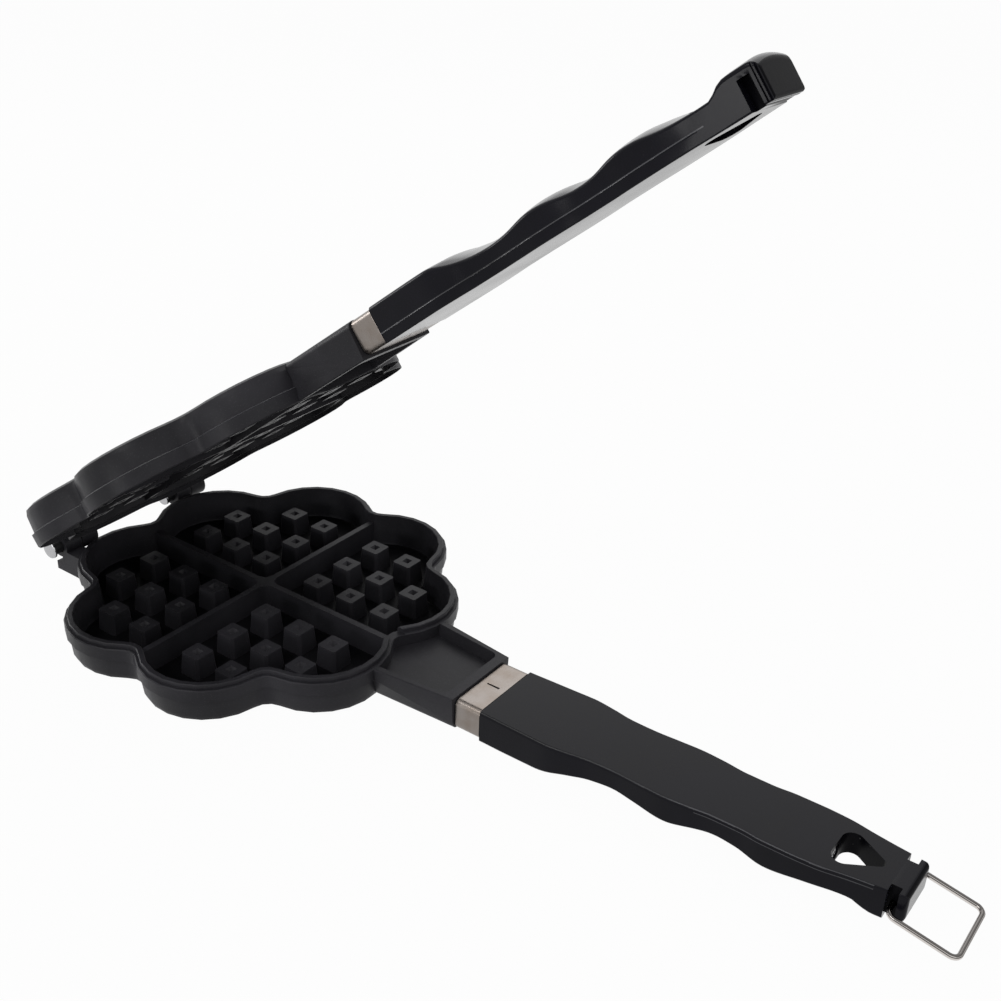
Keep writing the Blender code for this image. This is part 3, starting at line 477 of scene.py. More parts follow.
class Finish:
    """A new material with its shader, object coordinates and the few steps that each finish uses."""

    def __init__(self, name):
        self.material = bpy.data.materials.new(name)
        self.material.use_nodes = True
        self.tree = self.material.node_tree
        self.shader = self.tree.nodes["Principled BSDF"]
        self.place = self.tree.nodes.new('ShaderNodeTexCoord').outputs["Object"]

    def link(self, source, target):
        self.tree.links.new(source, target)

    def node(self, kind, **settings):
        node = self.tree.nodes.new(kind)
        for key, value in settings.items():
            setattr(node, key, value)
        return node

    def group(self, group, **values):
        """A node group on the piece's own coordinates, with its values."""
        node = self.node('ShaderNodeGroup')
        node.node_tree = group
        self.link(self.place, node.inputs["Vector"])
        for label, value in values.items():
            node.inputs[label.replace("_", " ")].default_value = value
        return node

    def blend(self, mask, low, high):
        """A colour or value that goes from low to high with the mask."""
        coloured = not isinstance(low, float)
        mix = self.node('ShaderNodeMix', data_type='RGBA' if coloured else 'FLOAT')
        first, second, result = (6, 7, 2) if coloured else (2, 3, 0)
        self.link(mask, mix.inputs[0])
        for index, value in ((first, low), (second, high)):
            if isinstance(value, bpy.types.NodeSocket):
                self.link(value, mix.inputs[index])
            else:
                mix.inputs[index].default_value = (*value, 1.0) if coloured else value
        return mix.outputs[result]

    def bump(self, height, depth, under=None):
        """A normal from a height, over another bump where one is given."""
        node = self.node('ShaderNodeBump')
        node.inputs["Distance"].default_value = depth
        self.link(height, node.inputs["Height"])
        if under:
            self.link(under, node.inputs["Normal"])
        return node.outputs["Normal"]

    def set(self, **values):
        """Sets or links the shader's own sockets."""
        for label, value in values.items():
            socket = self.shader.inputs[label.replace("_", " ")]
            if isinstance(value, bpy.types.NodeSocket):
                self.link(value, socket)
            else:
                socket.default_value = value


def coated_casting(look, deep=False):
    """Black non-stick coating over cast metal: satin and finely pebbled; the deep one is painted shade for
    the cavity floors, darker and with less reflection.
    """
    finish = Finish("coated_casting_deep" if deep else "coated_casting")
    grain = finish.group(fine_grain_group(), Scale=2600.0, Speck_Scale=1500.0, Speck_Size=0.22)
    patches = finish.group(soft_patches_group(), Scale=24.0, Low=0.35, High=0.72)
    ripple = finish.group(soft_patches_group(), Scale=260.0, Low=0.2, High=0.8)
    # The deep one paints shade: a quarter of the colour, darker specks and less reflection.
    share, specks, level = ((0.25, (0.02, 0.02, 0.02), 0.05) if deep
                            else (1.0, (0.075, 0.075, 0.080), 0.14))
    base = finish.blend(patches.outputs["Mask"], tinted(look.coating, share), tinted(look.worn, share))
    speckled = finish.blend(grain.outputs["Specks"], base, specks)
    gloss = finish.blend(patches.outputs["Mask"], 0.36, 0.44)
    under = finish.bump(ripple.outputs["Mask"], 0.00002)
    finish.set(Base_Color=speckled, Roughness=gloss, IOR=1.45, Specular_IOR_Level=level,
               Normal=finish.bump(grain.outputs["Height"], 0.00003, under))
    return finish.material


def handle_plastic(look):
    """Black moulded plastic: glossy, with faint flow marks and a smudged sheen."""
    finish = Finish("handle_plastic")
    patches = finish.group(soft_patches_group(), Scale=38.0, Low=0.3, High=0.75)
    grain = finish.group(fine_grain_group(), Scale=1100.0, Speck_Scale=420.0, Speck_Size=0.06)
    base = finish.blend(patches.outputs["Mask"], tuple(look.plastic), tinted(look.plastic, 1.35))
    dusty = finish.blend(grain.outputs["Specks"], base, (0.05, 0.05, 0.055))
    gloss = finish.blend(patches.outputs["Mask"], 0.17, 0.23)
    reach = finish.node('ShaderNodeMapRange')
    reach.inputs["From Min"].default_value = 0.80
    reach.inputs["From Max"].default_value = 0.95
    finish.link(finish.node('ShaderNodeLayerWeight').outputs["Facing"], reach.inputs["Value"])
    level = finish.blend(reach.outputs["Result"], 0.10, 1.0)
    finish.set(Base_Color=dusty, Roughness=gloss, IOR=1.48, Specular_IOR_Level=level,
               Normal=finish.bump(grain.outputs["Height"], 0.000012))
    return finish.material


def recess_painted_shade_plastic(look):
    """The same plastic with painted shade, darker and with little reflection: in the hole, the notches and
    round the end's edge.
    """
    finish = Finish("handle_recess")
    grain = finish.group(fine_grain_group(), Scale=900.0, Speck_Scale=260.0, Speck_Size=0.10)
    base = finish.blend(grain.outputs["Specks"], tinted(look.plastic, 0.45), (0.12, 0.12, 0.12))
    finish.set(Base_Color=base, Roughness=0.34, Specular_IOR_Level=0.04,
               Normal=finish.bump(grain.outputs["Height"], 0.00002))
    return finish.material


def painted_highlight_surface(name, scale, low, high, pale, plain, roughness):
    """A painted highlight on a coated or moulded surface: pale, but plainer in soft patches."""
    finish = Finish(name)
    patches = finish.group(soft_patches_group(), Scale=scale, Low=low, High=high)
    finish.set(Base_Color=finish.blend(patches.outputs["Mask"], pale, plain), Roughness=roughness,
               Specular_IOR_Level=0.3)
    return finish.material


def worked_steel(name, colour, stain, stretch, scale, patches, gloss, depth):
    """Bright steel with fine lines along the way it was rolled or turned, stained in soft patches."""
    finish = Finish(name)
    lines = finish.group(drawn_lines_group(), Stretch=stretch, Scale=scale)
    clouds = finish.group(soft_patches_group(), Scale=patches[0], Low=patches[1], High=patches[2])
    stained = tuple(value * share for value, share in zip(colour, stain))
    finish.set(Base_Color=finish.blend(clouds.outputs["Mask"], tuple(colour), stained), Metallic=1.0,
               Roughness=finish.blend(lines.outputs["Mask"], *gloss),
               Normal=finish.bump(lines.outputs["Height"], depth))
    return finish.material


def chromed_wire(colour):
    """Bright drawn wire whose narrow dark and pale bands, as round chrome mirrors them along its upper side,
    are painted reflections set by which way the surface faces.
    """
    finish = Finish("bail_wire")
    lines = finish.group(drawn_lines_group(), Stretch=(0.3, 4.0, 4.0), Scale=800.0)
    facing = finish.node('ShaderNodeSeparateXYZ')
    finish.link(finish.node('ShaderNodeNewGeometry').outputs["Normal"], facing.inputs[0])
    height = finish.node('ShaderNodeMapRange')
    height.inputs["From Min"].default_value = -1.0
    finish.link(facing.outputs["Z"], height.inputs["Value"])
    # Painted reflections: the colour goes pale and dark in bands by how far the surface faces up.
    bands = finish.node('ShaderNodeValToRGB')
    elements = bands.color_ramp.elements
    elements[0].color = (*tinted(colour, 0.5), 1.0)
    elements[1].color = (*tinted(colour, 0.3), 1.0)
    for place, share in ((0.16, 0.8), (0.35, 1.3), (0.66, 1.2), (0.71, 0.12), (0.80, 0.10), (0.84, 0.9),
                         (0.88, 0.7), (0.91, 0.12)):
        elements.new(place).color = (*tinted(colour, share), 1.0)
    finish.link(height.outputs["Result"], bands.inputs["Fac"])
    finish.set(Base_Color=bands.outputs["Color"], Roughness=0.16, Metallic=1.0,
               Normal=finish.bump(lines.outputs["Height"], 0.000006))
    return finish.material


def pin_steel(name, colour, limit):
    """Bright turned steel at the pin's open end, and the casting's coating where it sits in the knuckles."""
    finish = Finish(name)
    lines = finish.group(drawn_lines_group(), Stretch=(0.4, 5.0, 0.4), Scale=800.0)
    split = finish.node('ShaderNodeSeparateXYZ')
    finish.link(finish.place, split.inputs[0])
    coated = finish.node('ShaderNodeMath', operation='GREATER_THAN')
    coated.inputs[1].default_value = limit
    finish.link(split.outputs["Y"], coated.inputs[0])
    mask = coated.outputs[0]
    finish.set(Base_Color=finish.blend(mask, tuple(colour), (0.012, 0.012, 0.013)),
               Metallic=finish.blend(mask, 1.0, 0.0), Roughness=finish.blend(mask, 0.24, 0.48),
               Specular_IOR_Level=0.2, Normal=finish.bump(lines.outputs["Height"], 0.00001))
    return finish.material


def shift_vertices(piece, back, new_place):
    """Moves the vertices for which new_place, given one's place in the half's own frame, returns another."""
    enter_edit(piece, 'VERT')
    build = bmesh.from_edit_mesh(piece.data)
    place = back.inverted()
    for vert in build.verts:
        moved = new_place(*(back @ vert.co))
        if moved:
            vert.co = place @ Vector(moved)
    bmesh.update_edit_mesh(piece.data)
    leave_edit()


def fuller_stud(x, y, depth):
    """Widens the flat tops of the studs and deepens the dimple in each, as cast."""
    if depth < STUD_SETBACK - 0.0002 or depth > CAVITY_DEPTH + 0.0001:
        return None
    middle_x = math.copysign(min(STUD_CENTRES, key=lambda c: abs(c - abs(x))), x)
    middle_y = math.copysign(min(STUD_CENTRES, key=lambda c: abs(c - abs(y))), y)
    reach = max(abs(x - middle_x), abs(y - middle_y))
    if reach > STUD_REACH:
        return None
    if depth < STUD_SETBACK + 0.0002:
        grow = 1.20 if reach > 0.002 else 1.30
    elif reach < 0.0006:
        grow, depth = 1.0, depth + 0.0010
    else:
        grow = 1.07 if depth < STUD_SETBACK + 0.002 else 1.12
    return middle_x + (x - middle_x) * grow, middle_y + (y - middle_y) * grow, depth


def thinner_neck_rim(x, y, depth):
    """Moves the pocket's side walls outward, more towards the ferrule, so that the rims there end thin."""
    if not (THIN_RIM_START < x < POCKET_END + 0.0002 and -0.0002 < depth < POCKET_DEPTH + 0.0002
            and 0.0118 < abs(y) < 0.0205):
        return None
    outer = NECK_HALF_WIDTHS[0] + (NECK_HALF_WIDTHS[1] - NECK_HALF_WIDTHS[0]) * (x - NECK_ENDS[0]) / (
        NECK_ENDS[1] - NECK_ENDS[0])
    if abs(y) >= outer - 0.0028:
        return None
    reach = min(1.0, (x - THIN_RIM_START) / THIN_RIM_RUN)
    return x, y + math.copysign(THIN_RIM_SHIFT * reach, y), depth


def repaint(piece, material, back, test):
    """Gives another material to the faces whose centre and normal, in the half's own frame, pass the test."""
    piece.data.materials.append(material)
    turn = back.to_3x3()
    index = len(piece.data.materials) - 1
    for face in piece.data.polygons:
        if test(back @ face.center, turn @ face.normal):
            face.material_index = index


def dressed_casting(upper, look, material, deep, painted_highlight):
    """The casting from a merged copy of its solid, with its edges rounded and its walls shaded smooth."""
    node = HALVES[upper] + "_plate"
    piece = add_object(node + "_casting", frame["nodes"][node].data.copy())
    make_active(piece)
    bpy.ops.mesh.customdata_custom_splitnormals_clear()
    enter_edit(piece, 'VERT')
    select_all()
    bpy.ops.mesh.remove_doubles(threshold=0.000002)
    bpy.ops.mesh.dissolve_limited(angle_limit=math.radians(0.6))
    leave_edit()
    back = PLACES[upper].inverted()
    shift_vertices(piece, back, fuller_stud)
    shift_vertices(piece, back, thinner_neck_rim)
    if not upper:
        for low, high in WEB_BLOCKS:
            web = block("knuckle_web", low, high)
            apply_modifier(piece, "Web", 'BOOLEAN', object=web, operation='UNION', solver='EXACT')
            bpy.data.objects.remove(web)
    round_edges(piece, look.edge_round)
    hand_over(piece, material, HALVES[upper], node)
    # Painted shade on the floors deep in the cavities.
    repaint(piece, deep, back, lambda centre, normal: normal.z < -0.9 and centre.z > CAVITY_DEPTH - 0.001)
    # A pale painted highlight along the upper half's flange step.
    if upper:
        repaint(piece, painted_highlight, back, lambda centre, normal: abs(centre.z - FLANGE_CORNER_DEPTH) < 0.0003
                and normal.z > 0.2 and centre.xy.length > PLATE_INNER_REACH)


def handle_size(look, share, upper):
    """Half-width and thickness of the handle at a share of its length."""
    thickness = UPPER_THICKNESS if upper else LOWER_THICKNESS
    return (look.grip_width / 2 * along_table(WIDTH_SHARES, share),
            look.grip_thickness * along_table(thickness, share))


def share_at(x):
    return (x - HANDLE_START) / HANDLE_LENGTH


def handle_end(upper):
    return HANDLE_START + HANDLE_LENGTH - SHORTER_BY[upper]


def face_depth(share, upper):
    """How far the handle's flat face lies from the meeting plane."""
    return ROOT_SETBACK + (END_SETBACKS[upper] - ROOT_SETBACK) * share


def handle_section(name, look, half, thick, depth):
    """The root's section, with fine steps beside the flat face and enough points for crown and bead."""
    blank = upright_plate(name, HANDLE_START, depth + thick / 2, 2 * half, thick)
    enter_edit(blank, 'VERT')
    pick(blank, 'VERT', lambda v: v.co.z > depth + thick / 2)
    bpy.ops.mesh.bevel(offset=look.back_corner, segments=5, affect='VERTICES')
    pick(blank, 'VERT', lambda v: v.co.z < depth + look.face_step / 2)
    bpy.ops.mesh.bevel(offset=look.face_step, segments=4, profile=0.5, affect='VERTICES')
    bpy.ops.mesh.select_mode(type='EDGE')
    pick(blank, 'EDGE', lambda e: min(v.co.z for v in e.verts) > depth + thick - HAIR)
    bpy.ops.mesh.subdivide(number_cuts=11)
    pick(blank, 'EDGE', lambda e: min(abs(v.co.y) for v in e.verts) > half - HAIR)
    bpy.ops.mesh.subdivide(number_cuts=3)
    side = [v.co.z - depth for v in bmesh.from_edit_mesh(blank.data).verts if v.co.y > half - HAIR]
    return blank, [place / thick for place in sorted(side)[1:4]]


def handle_stations(upper):
    """Where each section lies along the handle, how far it draws in, and how far its back comes down."""
    length = HANDLE_LENGTH - SHORTER_BY[upper]
    straight = length - END_ROUNDING
    stations = [(straight * (k + 1) / SECTION_STEPS, 0.0, 0.0) for k in range(SECTION_STEPS)]
    edge_round = END_EDGE_ROUNDINGS[upper]
    for k in range(1, 8):
        angle = math.pi / 2 * k / 7
        along = straight + END_ROUNDING * math.sin(angle)
        past = max(0.0, (along - length + edge_round) / edge_round)
        inset = edge_round * (1 - math.sqrt(max(0.0, 1 - past ** 2)))
        stations.append((along, inset, END_ROUNDING * (1 - math.cos(angle))))
    return stations


def handle_blank(name, look, upper):
    """The waved grip: a rounded section drawn out from the root in short steps, each resized."""
    half, thick = handle_size(look, 0.0, upper)
    depth = face_depth(0.0, upper)
    blank, bead_shares = handle_section(name, look, half, thick, depth)
    bpy.ops.mesh.select_mode(type='FACE')
    select_all()
    rings = [(0.0, half, thick, depth)]
    for along, inset, drop in handle_stations(upper):
        at, wide, tall, low = rings[-1]
        share = along / HANDLE_LENGTH
        half, thick = handle_size(look, share, upper)
        depth = face_depth(share, upper) + inset
        half -= inset
        thick -= inset + drop
        extrude(along - at, 0.0, depth - low)
        resize((1.0, half / wide, thick / tall), (HANDLE_START + along, 0.0, depth))
        rings.append((along, half, thick, depth))
    shape_rings(blank, rings, bead_shares, upper)
    select_all()
    bpy.ops.mesh.normals_make_consistent(inside=False)
    leave_edit()
    return blank


def shape_rings(blank, rings, bead_shares, upper):
    """Raises the crown of the back, and sets the fine bead along both sides at an even depth."""
    ridge = BEAD_DEPTHS[upper]
    bead = ((ridge - BEAD_HALF_WIDTH, 0.0), (ridge, BEAD_RISES[upper]), (ridge + BEAD_HALF_WIDTH, 0.0))
    build = bmesh.from_edit_mesh(blank.data)
    for vert in build.verts:
        along = vert.co.x - HANDLE_START
        _, half, thick, depth = min(rings, key=lambda ring: abs(ring[0] - along))
        share = (vert.co.z - depth) / thick
        if abs(vert.co.y) > half - HAIR:
            for place, (deep, proud) in zip(bead_shares, bead):
                if abs(share - place) < 0.004:
                    fade = min(1.0, max(0.0, (BEAD_END - along / HANDLE_LENGTH) / BEAD_FADE))
                    vert.co.z = depth + deep
                    vert.co.y += math.copysign(proud * fade, vert.co.y)
                    break
        elif upper and share > 0.5:
            rise = along_table(UPPER_CROWN, along / HANDLE_LENGTH)
            vert.co.z += rise * (1 - (vert.co.y / half) ** 2)
    bmesh.update_edit_mesh(blank.data)


def hanging_hole_cutter():
    """A rounded triangle through the handle: three bars at its corners, closed into one by their hull."""
    spread = HOLE_HALF_WIDTH - HOLE_CORNER_RADIUS
    corners = [(HOLE_BACK + HOLE_CORNER_RADIUS, side * spread, HOLE_CORNER_RADIUS, 64) for side in (-1, 1)]
    corners.append((HOLE_TIP - HOLE_TIP_RADIUS, 0.0, HOLE_TIP_RADIUS, 48))
    bars = [drum("hole_bar", (x, y, 0.008), radius, HOLE_CUT_LENGTH, 'Z', sides)
            for x, y, radius, sides in corners]
    deselect_all()
    for bar in bars:
        bar.select_set(True)
    bpy.context.view_layer.objects.active = bars[0]
    bpy.ops.object.join()
    enter_edit(bars[0], 'VERT')
    select_all()
    bpy.ops.mesh.convex_hull()
    bpy.ops.mesh.dissolve_limited(angle_limit=math.radians(0.5))
    leave_edit()
    return bars[0]


def in_hole(point):
    return (HOLE_BACK - HOLE_MARGIN < point.x < HOLE_TIP + HOLE_MARGIN
            and abs(point.y) < HOLE_HALF_WIDTH + HOLE_MARGIN)


def on_painted_highlight_line(look, upper, centre, normal):
    """Whether a face lies on the bead's back side, or on the outer part of the edge beside the flat face,
    where a pale highlight is painted.
    """
    share = share_at(centre.x)
    if share > 0.93 or in_hole(centre):
        return False
    depth = face_depth(share, upper)
    if abs(centre.y) < handle_size(look, share, upper)[0] - look.face_step:
        return False
    if centre.z < depth + look.face_step:
        return not upper and 0.25 < -normal.z < 0.92
    along_bead = share < BEAD_END if upper else share > 0.55
    return 0.0 < centre.z - depth - BEAD_DEPTHS[upper] < 0.00045 and along_bead


def in_recess(look, upper, centre, normal):
    """Whether a face belongs to the hanging hole's wall, a notch, or the rounding at the handle's end, where
    shade is painted.
    """
    end = handle_end(upper)
    if in_hole(centre):
        return abs(normal.z) < 0.5
    if upper and centre.x > end - 0.0004 and normal.x > 0.5:
        return True
    if centre.x > end - 0.0035 and abs(centre.y) < 0.008 and 0.25 < normal.x < 0.97 and normal.z < 0.0:
        return True
    notch_at = end - NOTCH_SETBACKS[upper]
    half = handle_size(look, share_at(notch_at), upper)[0]
    return abs(centre.x - notch_at) < 0.0024 and abs(centre.y) < half - 0.0005 and (
        abs(normal.x) > 0.9 or abs(normal.y) > 0.9)


def side_cutter(name, side, start, end, inner, back):
    """A block that reaches into one side of the handle as far as a given half-width."""
    low, high = sorted((side * inner, side * (inner + CUT_OVERRUN)))
    return block(name, (start, low, -CUT_OVERRUN), (end, high, back))


def dressed_handle(upper, look, material, painted_highlight, recess_painted_shade):
    """The whole handle: waved grip, rounded hanging hole, notches, and the fine slots at the upper end."""
    handle = handle_blank(HALVES[upper] + "_grip", look, upper)
    carve(handle, hanging_hole_cutter())
    enter_edit(handle, 'EDGE')
    rim = pick(handle, 'EDGE', lambda e: in_hole(middle(e)) and len(e.link_faces) == 2
               and abs(e.verts[0].co.z - e.verts[1].co.z) < 0.002
               and e.calc_face_angle(0.0) > math.radians(50))
    if not rim:
        raise RuntimeError("the hanging hole has no rim to round")
    bpy.ops.mesh.bevel(offset=0.0006, segments=4, affect='EDGES', clamp_overlap=True)
    leave_edit()
    carve(handle, drum("seat_cutter", (HOLE_BACK - 0.0005, 0.0, SCREW_DEPTH), SCREW_SEAT_RADIUS, 0.005, 'X'))

    end = handle_end(upper)
    notch_at = end - NOTCH_SETBACKS[upper]
    wide = NOTCH_HALF_WIDTHS[upper]
    notch_half, notch_thick = handle_size(look, share_at(notch_at), upper)
    notch_half -= NOTCH_DEPTHS[upper]
    notch_back = notch_thick - NOTCH_BACK_WALL if upper else HOLE_CUT_LENGTH
    for side in (-1, 1):
        carve(handle, side_cutter("notch_cutter", side, notch_at - wide, notch_at + wide,
                                  notch_half, notch_back))
        if upper:
            for slot in (end - setback for setback in SLOT_SETBACKS):
                slot_half = handle_size(look, share_at(slot), upper)[0] - SLOT_DEPTH
                carve(handle, side_cutter("slot_cutter", side, slot, slot + SLOT_WIDTH, slot_half,
                                          HOLE_CUT_LENGTH))
        else:
            carve(handle, drum("wire_cutter", (notch_at, side * notch_half, WIRE_BORE_DEPTH),
                               WIRE_BORE_RADIUS, WIRE_BORE_LENGTH, 'Y', 32))
    round_edges(handle, 0.00022, 42.0, 38.0)
    settle(handle, PLACES[upper])
    hand_over(handle, material, HALVES[upper], HALVES[upper] + "_handle")
    back = PLACES[upper].inverted()
    # Pale painted highlights along the edge beside the flat face and along the bead.
    repaint(handle, painted_highlight, back, lambda centre, normal: on_painted_highlight_line(look, upper, centre, normal))
    # Painted shade in the hole, the notches and at the end.
    repaint(handle, recess_painted_shade, back, lambda centre, normal: in_recess(look, upper, centre, normal))


def dressed_ferrule(upper, look, material):
    """A sleeve of rolled sheet: a rounded section drawn out, with its wall, rounded rims and short slit."""
    sleeve = upright_plate(HALVES[upper] + "_sleeve", FERRULE_START, (FERRULE_TOP + FERRULE_BASE) / 2,
                           2 * FERRULE_HALF_WIDTH, FERRULE_BASE - FERRULE_TOP)
    enter_edit(sleeve, 'VERT')
    select_all()
    bpy.ops.mesh.bevel(offset=FERRULE_CORNER, segments=8, affect='VERTICES')
    bpy.ops.mesh.select_mode(type='FACE')
    select_all()
    extrude(FERRULE_END - FERRULE_START, 0.0, 0.0)
    pick(sleeve, 'FACE', lambda f: abs(f.normal.x) > 0.9)
    bpy.ops.mesh.delete(type='ONLY_FACE')
    select_all()
    bpy.ops.mesh.normals_make_consistent(inside=False)
    leave_edit()
    apply_modifier(sleeve, "Wall", 'SOLIDIFY', thickness=look.sheet, offset=-1.0, use_even_offset=True)
    centre = (FERRULE_START + FERRULE_END) / 2
    carve(sleeve, block("slit_cutter", (centre - SLIT_HALF_LENGTH, -SLIT_HALF_WIDTH, FERRULE_TOP - 0.003),
                        (centre + SLIT_HALF_LENGTH, SLIT_HALF_WIDTH, FERRULE_TOP + 0.0015)))
    round_edges(sleeve, 0.00018, 50.0)
    settle(sleeve, PLACES[upper])
    hand_over(sleeve, material, HALVES[upper], HALVES[upper] + "_ferrule")


def dressed_pin(far, material):
    """A hinge pin with a broad head on its open end, rounded rims and slightly domed ends."""
    node = "hinge_pin_far" if far else "hinge_pin_near"
    low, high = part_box(node)
    radius = (high.x - low.x) / 2
    pin = drum(node + "_bar", (low + high) / 2, radius, high.y - low.y, 'Y', 64)
    enter_edit(pin, 'FACE')
    pick(pin, 'FACE', lambda f: f.normal.y < -0.9)
    grow = PIN_HEAD_RADII[far] / radius
    extrude(0.0, 0.0, 0.0)
    resize((grow, 1.0, grow), ((low.x + high.x) / 2, low.y, (low.z + high.z) / 2))
    extrude(0.0, -PIN_HEAD_HEIGHT, 0.0)
    bpy.ops.mesh.select_mode(type='EDGE')
    pick(pin, 'EDGE', lambda e: abs(e.verts[0].co.y - e.verts[1].co.y) < 0.0005
         and (middle(e).y > high.y - 0.0001 or middle(e).y < low.y - 0.001))
    bpy.ops.mesh.bevel(offset=0.0006, segments=4, affect='EDGES')
    for step, rise in ((0.0009, 0.00012), (0.0010, 0.00006)):
        bpy.ops.mesh.select_mode(type='FACE')
        pick(pin, 'FACE', lambda f: abs(f.normal.y) > 0.99 and len(f.verts) > 8)
        bpy.ops.mesh.inset(thickness=step)
        build = bmesh.from_edit_mesh(pin.data)
        for face in build.faces:
            if face.select:
                for vert in face.verts:
                    vert.co.y += rise if face.normal.y > 0 else -rise
        bmesh.update_edit_mesh(pin.data)
    leave_edit()
    smooth(pin, 50.0)
    hand_over(pin, material, "lower", node)


def dressed_screw(upper, material):
    """The long handle screw: shank, low round head and a cross slot."""
    screw = drum(HALVES[upper] + "_screw", ((SCREW_TIP + SCREW_SEAT) / 2, 0.0, SCREW_DEPTH), SCREW_RADIUS,
                 SCREW_SEAT - SCREW_TIP, 'X', 40)
    top = SCREW_SEAT + SCREW_HEAD_HEIGHT
    enter_edit(screw, 'FACE')
    pick(screw, 'FACE', lambda f: f.normal.x > 0.9)
    grow = SCREW_HEAD_RADIUS / SCREW_RADIUS
    extrude(0.0, 0.0, 0.0)
    resize((1.0, grow, grow), (SCREW_SEAT, 0.0, SCREW_DEPTH))
    extrude(SCREW_HEAD_HEIGHT * 0.5, 0.0, 0.0)
    for share, shrink in ((0.25, 0.92), (0.15, 0.80), (0.1, 0.6)):
        extrude(SCREW_HEAD_HEIGHT * share, 0.0, 0.0)
        resize((1.0, shrink, shrink), (top, 0.0, SCREW_DEPTH))
    leave_edit()
    for wide, tall in ((SCREW_SLOT_LENGTH, SCREW_SLOT_WIDTH), (SCREW_SLOT_WIDTH, SCREW_SLOT_LENGTH)):
        carve(screw, block("slot_cutter", (top - 0.0009, -wide, SCREW_DEPTH - tall),
                           (top + 0.001, wide, SCREW_DEPTH + tall)))
    smooth(screw, 40.0)
    settle(screw, PLACES[upper])
    hand_over(screw, material, HALVES[upper], HALVES[upper] + "_handle_screw")


def bail_path(half):
    """Points along the middle of the wire: in through one bore, round the loop and out by the other."""
    corner = [math.pi / 2 * k / 12 for k in range(13)]
    side = [(0.0, BAIL_INNER_END), (0.0, half - BAIL_BEND)]
    side += [(BAIL_BEND * (1 - math.cos(angle)), half - BAIL_BEND * (1 - math.sin(angle)))
             for angle in corner[1:]]
    side += [(BAIL_LENGTH - BAIL_BEND * (1 - math.sin(angle)), half - BAIL_BEND * (1 - math.cos(angle)))
             for angle in corner]
    return side + [(x, -y) for x, y in reversed(side)]


def dressed_bail(look, material):
    """The bent wire: a path along the loop, given its round section, made a mesh and capped."""
    low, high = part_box("bail")
    points = bail_path((high.y - low.y) / 2 - look.wire_radius)
    deselect_all()
    bpy.ops.curve.primitive_nurbs_path_add()
    wire = bpy.context.view_layer.objects.active
    wire.name = "bail_wire_loop"
    curve = wire.data
    curve.splines.clear()
    spline = curve.splines.new('POLY')
    spline.points.add(len(points) - 1)
    for point, (x, y) in zip(spline.points, points):
        point.co = (x, y, 0.0, 1.0)
    curve.bevel_depth = look.wire_radius
    curve.bevel_resolution = 5
    curve.use_fill_caps = True
    wire.matrix_world = Matrix.Translation(BAIL_PIVOT) @ Matrix.Rotation(BAIL_DROOP, 4, 'Y')
    bpy.ops.object.convert(target='MESH')
    wire = bpy.context.view_layer.objects.active
    bpy.ops.object.transform_apply(location=True, rotation=True, scale=True)
    enter_edit(wire, 'VERT')
    select_all()
    bpy.ops.mesh.remove_doubles(threshold=0.000001)
    bpy.ops.mesh.normals_make_consistent(inside=False)
    leave_edit()
    smooth(wire, 50.0)
    hand_over(wire, material, "bail", "bail")


def only_seen_directly(tree):
    """One where a ray comes straight from the camera or by way of gloss or glass, and nought elsewhere."""
    rays = tree.nodes.new('ShaderNodeLightPath')
    seen = rays.outputs["Is Camera Ray"]
    for kind in ("Is Glossy Ray", "Is Transmission Ray"):
        either = tree.nodes.new('ShaderNodeMath')
        either.operation = 'MAXIMUM'
        tree.links.new(seen, either.inputs[0])
        tree.links.new(rays.outputs[kind], either.inputs[1])
        seen = either.outputs[0]
    return seen


def mixed(tree, share, plain, seen, end):
    """Links a mix of two shaders to the tree's end, the second by the given share."""
    choose = tree.nodes.new('ShaderNodeMixShader')
    tree.links.new(share, choose.inputs[0])
    tree.links.new(plain.outputs[0], choose.inputs[1])
    tree.links.new(seen.outputs[0], choose.inputs[2])
    tree.links.new(choose.outputs[0], tree.nodes[end].inputs["Surface"])


def white_world(look):
    """Even white light from all round, which the camera and reflections see as pure white."""
    world = bpy.data.worlds.new("white_room")
    bpy.context.scene.world = world
    world.use_nodes = True
    tree = world.node_tree
    room = tree.nodes["Background"]
    seen = tree.nodes.new('ShaderNodeBackground')
    for shader, strength in ((room, look.sky), (seen, 1.0)):
        shader.inputs["Color"].default_value = (1.0, 1.0, 1.0, 1.0)
        shader.inputs["Strength"].default_value = strength
    mixed(tree, only_seen_directly(tree), room, seen, "World Output")


def plain_floor(look):
    """A pale floor that looks nearly white to the camera and still keeps the iron's shadow."""
    deselect_all()
    bpy.ops.mesh.primitive_plane_add(size=FLOOR_SIZE, location=(0.0, 0.0, -FLOOR_GAP))
    floor = new_piece("floor")
    material = bpy.data.materials.new("floor_paint")
    material.use_nodes = True
    tree = material.node_tree
    paint = tree.nodes["Principled BSDF"]
    paint.inputs["Base Color"].default_value = (*look.floor, 1.0)
    paint.inputs["Roughness"].default_value = 0.9
    paint.inputs["Specular IOR Level"].default_value = 0.0
    white = tree.nodes.new('ShaderNodeEmission')
    share = tree.nodes.new('ShaderNodeMath')
    share.operation = 'MULTIPLY'
    share.inputs[1].default_value = FLOOR_WHITE_SHARE
    tree.links.new(only_seen_directly(tree), share.inputs[0])
    mixed(tree, share.outputs[0], paint, white, "Material Output")
    floor.data.materials.append(material)


def soft_lamp(name, power):
    """A rectangular lamp at its place in the table, turned to face its point."""
    place, aim, width, height = LAMPS[name]
    lamp = bpy.data.lights.new(name + "_lamp", 'AREA')
    lamp.shape = 'RECTANGLE'
    lamp.size = width
    lamp.size_y = height
    lamp.energy = power
    holder = add_object(name + "_lamp", lamp)
    holder.location = place
    holder.rotation_euler = (Vector(aim) - Vector(place)).to_track_quat('-Z', 'Y').to_euler()


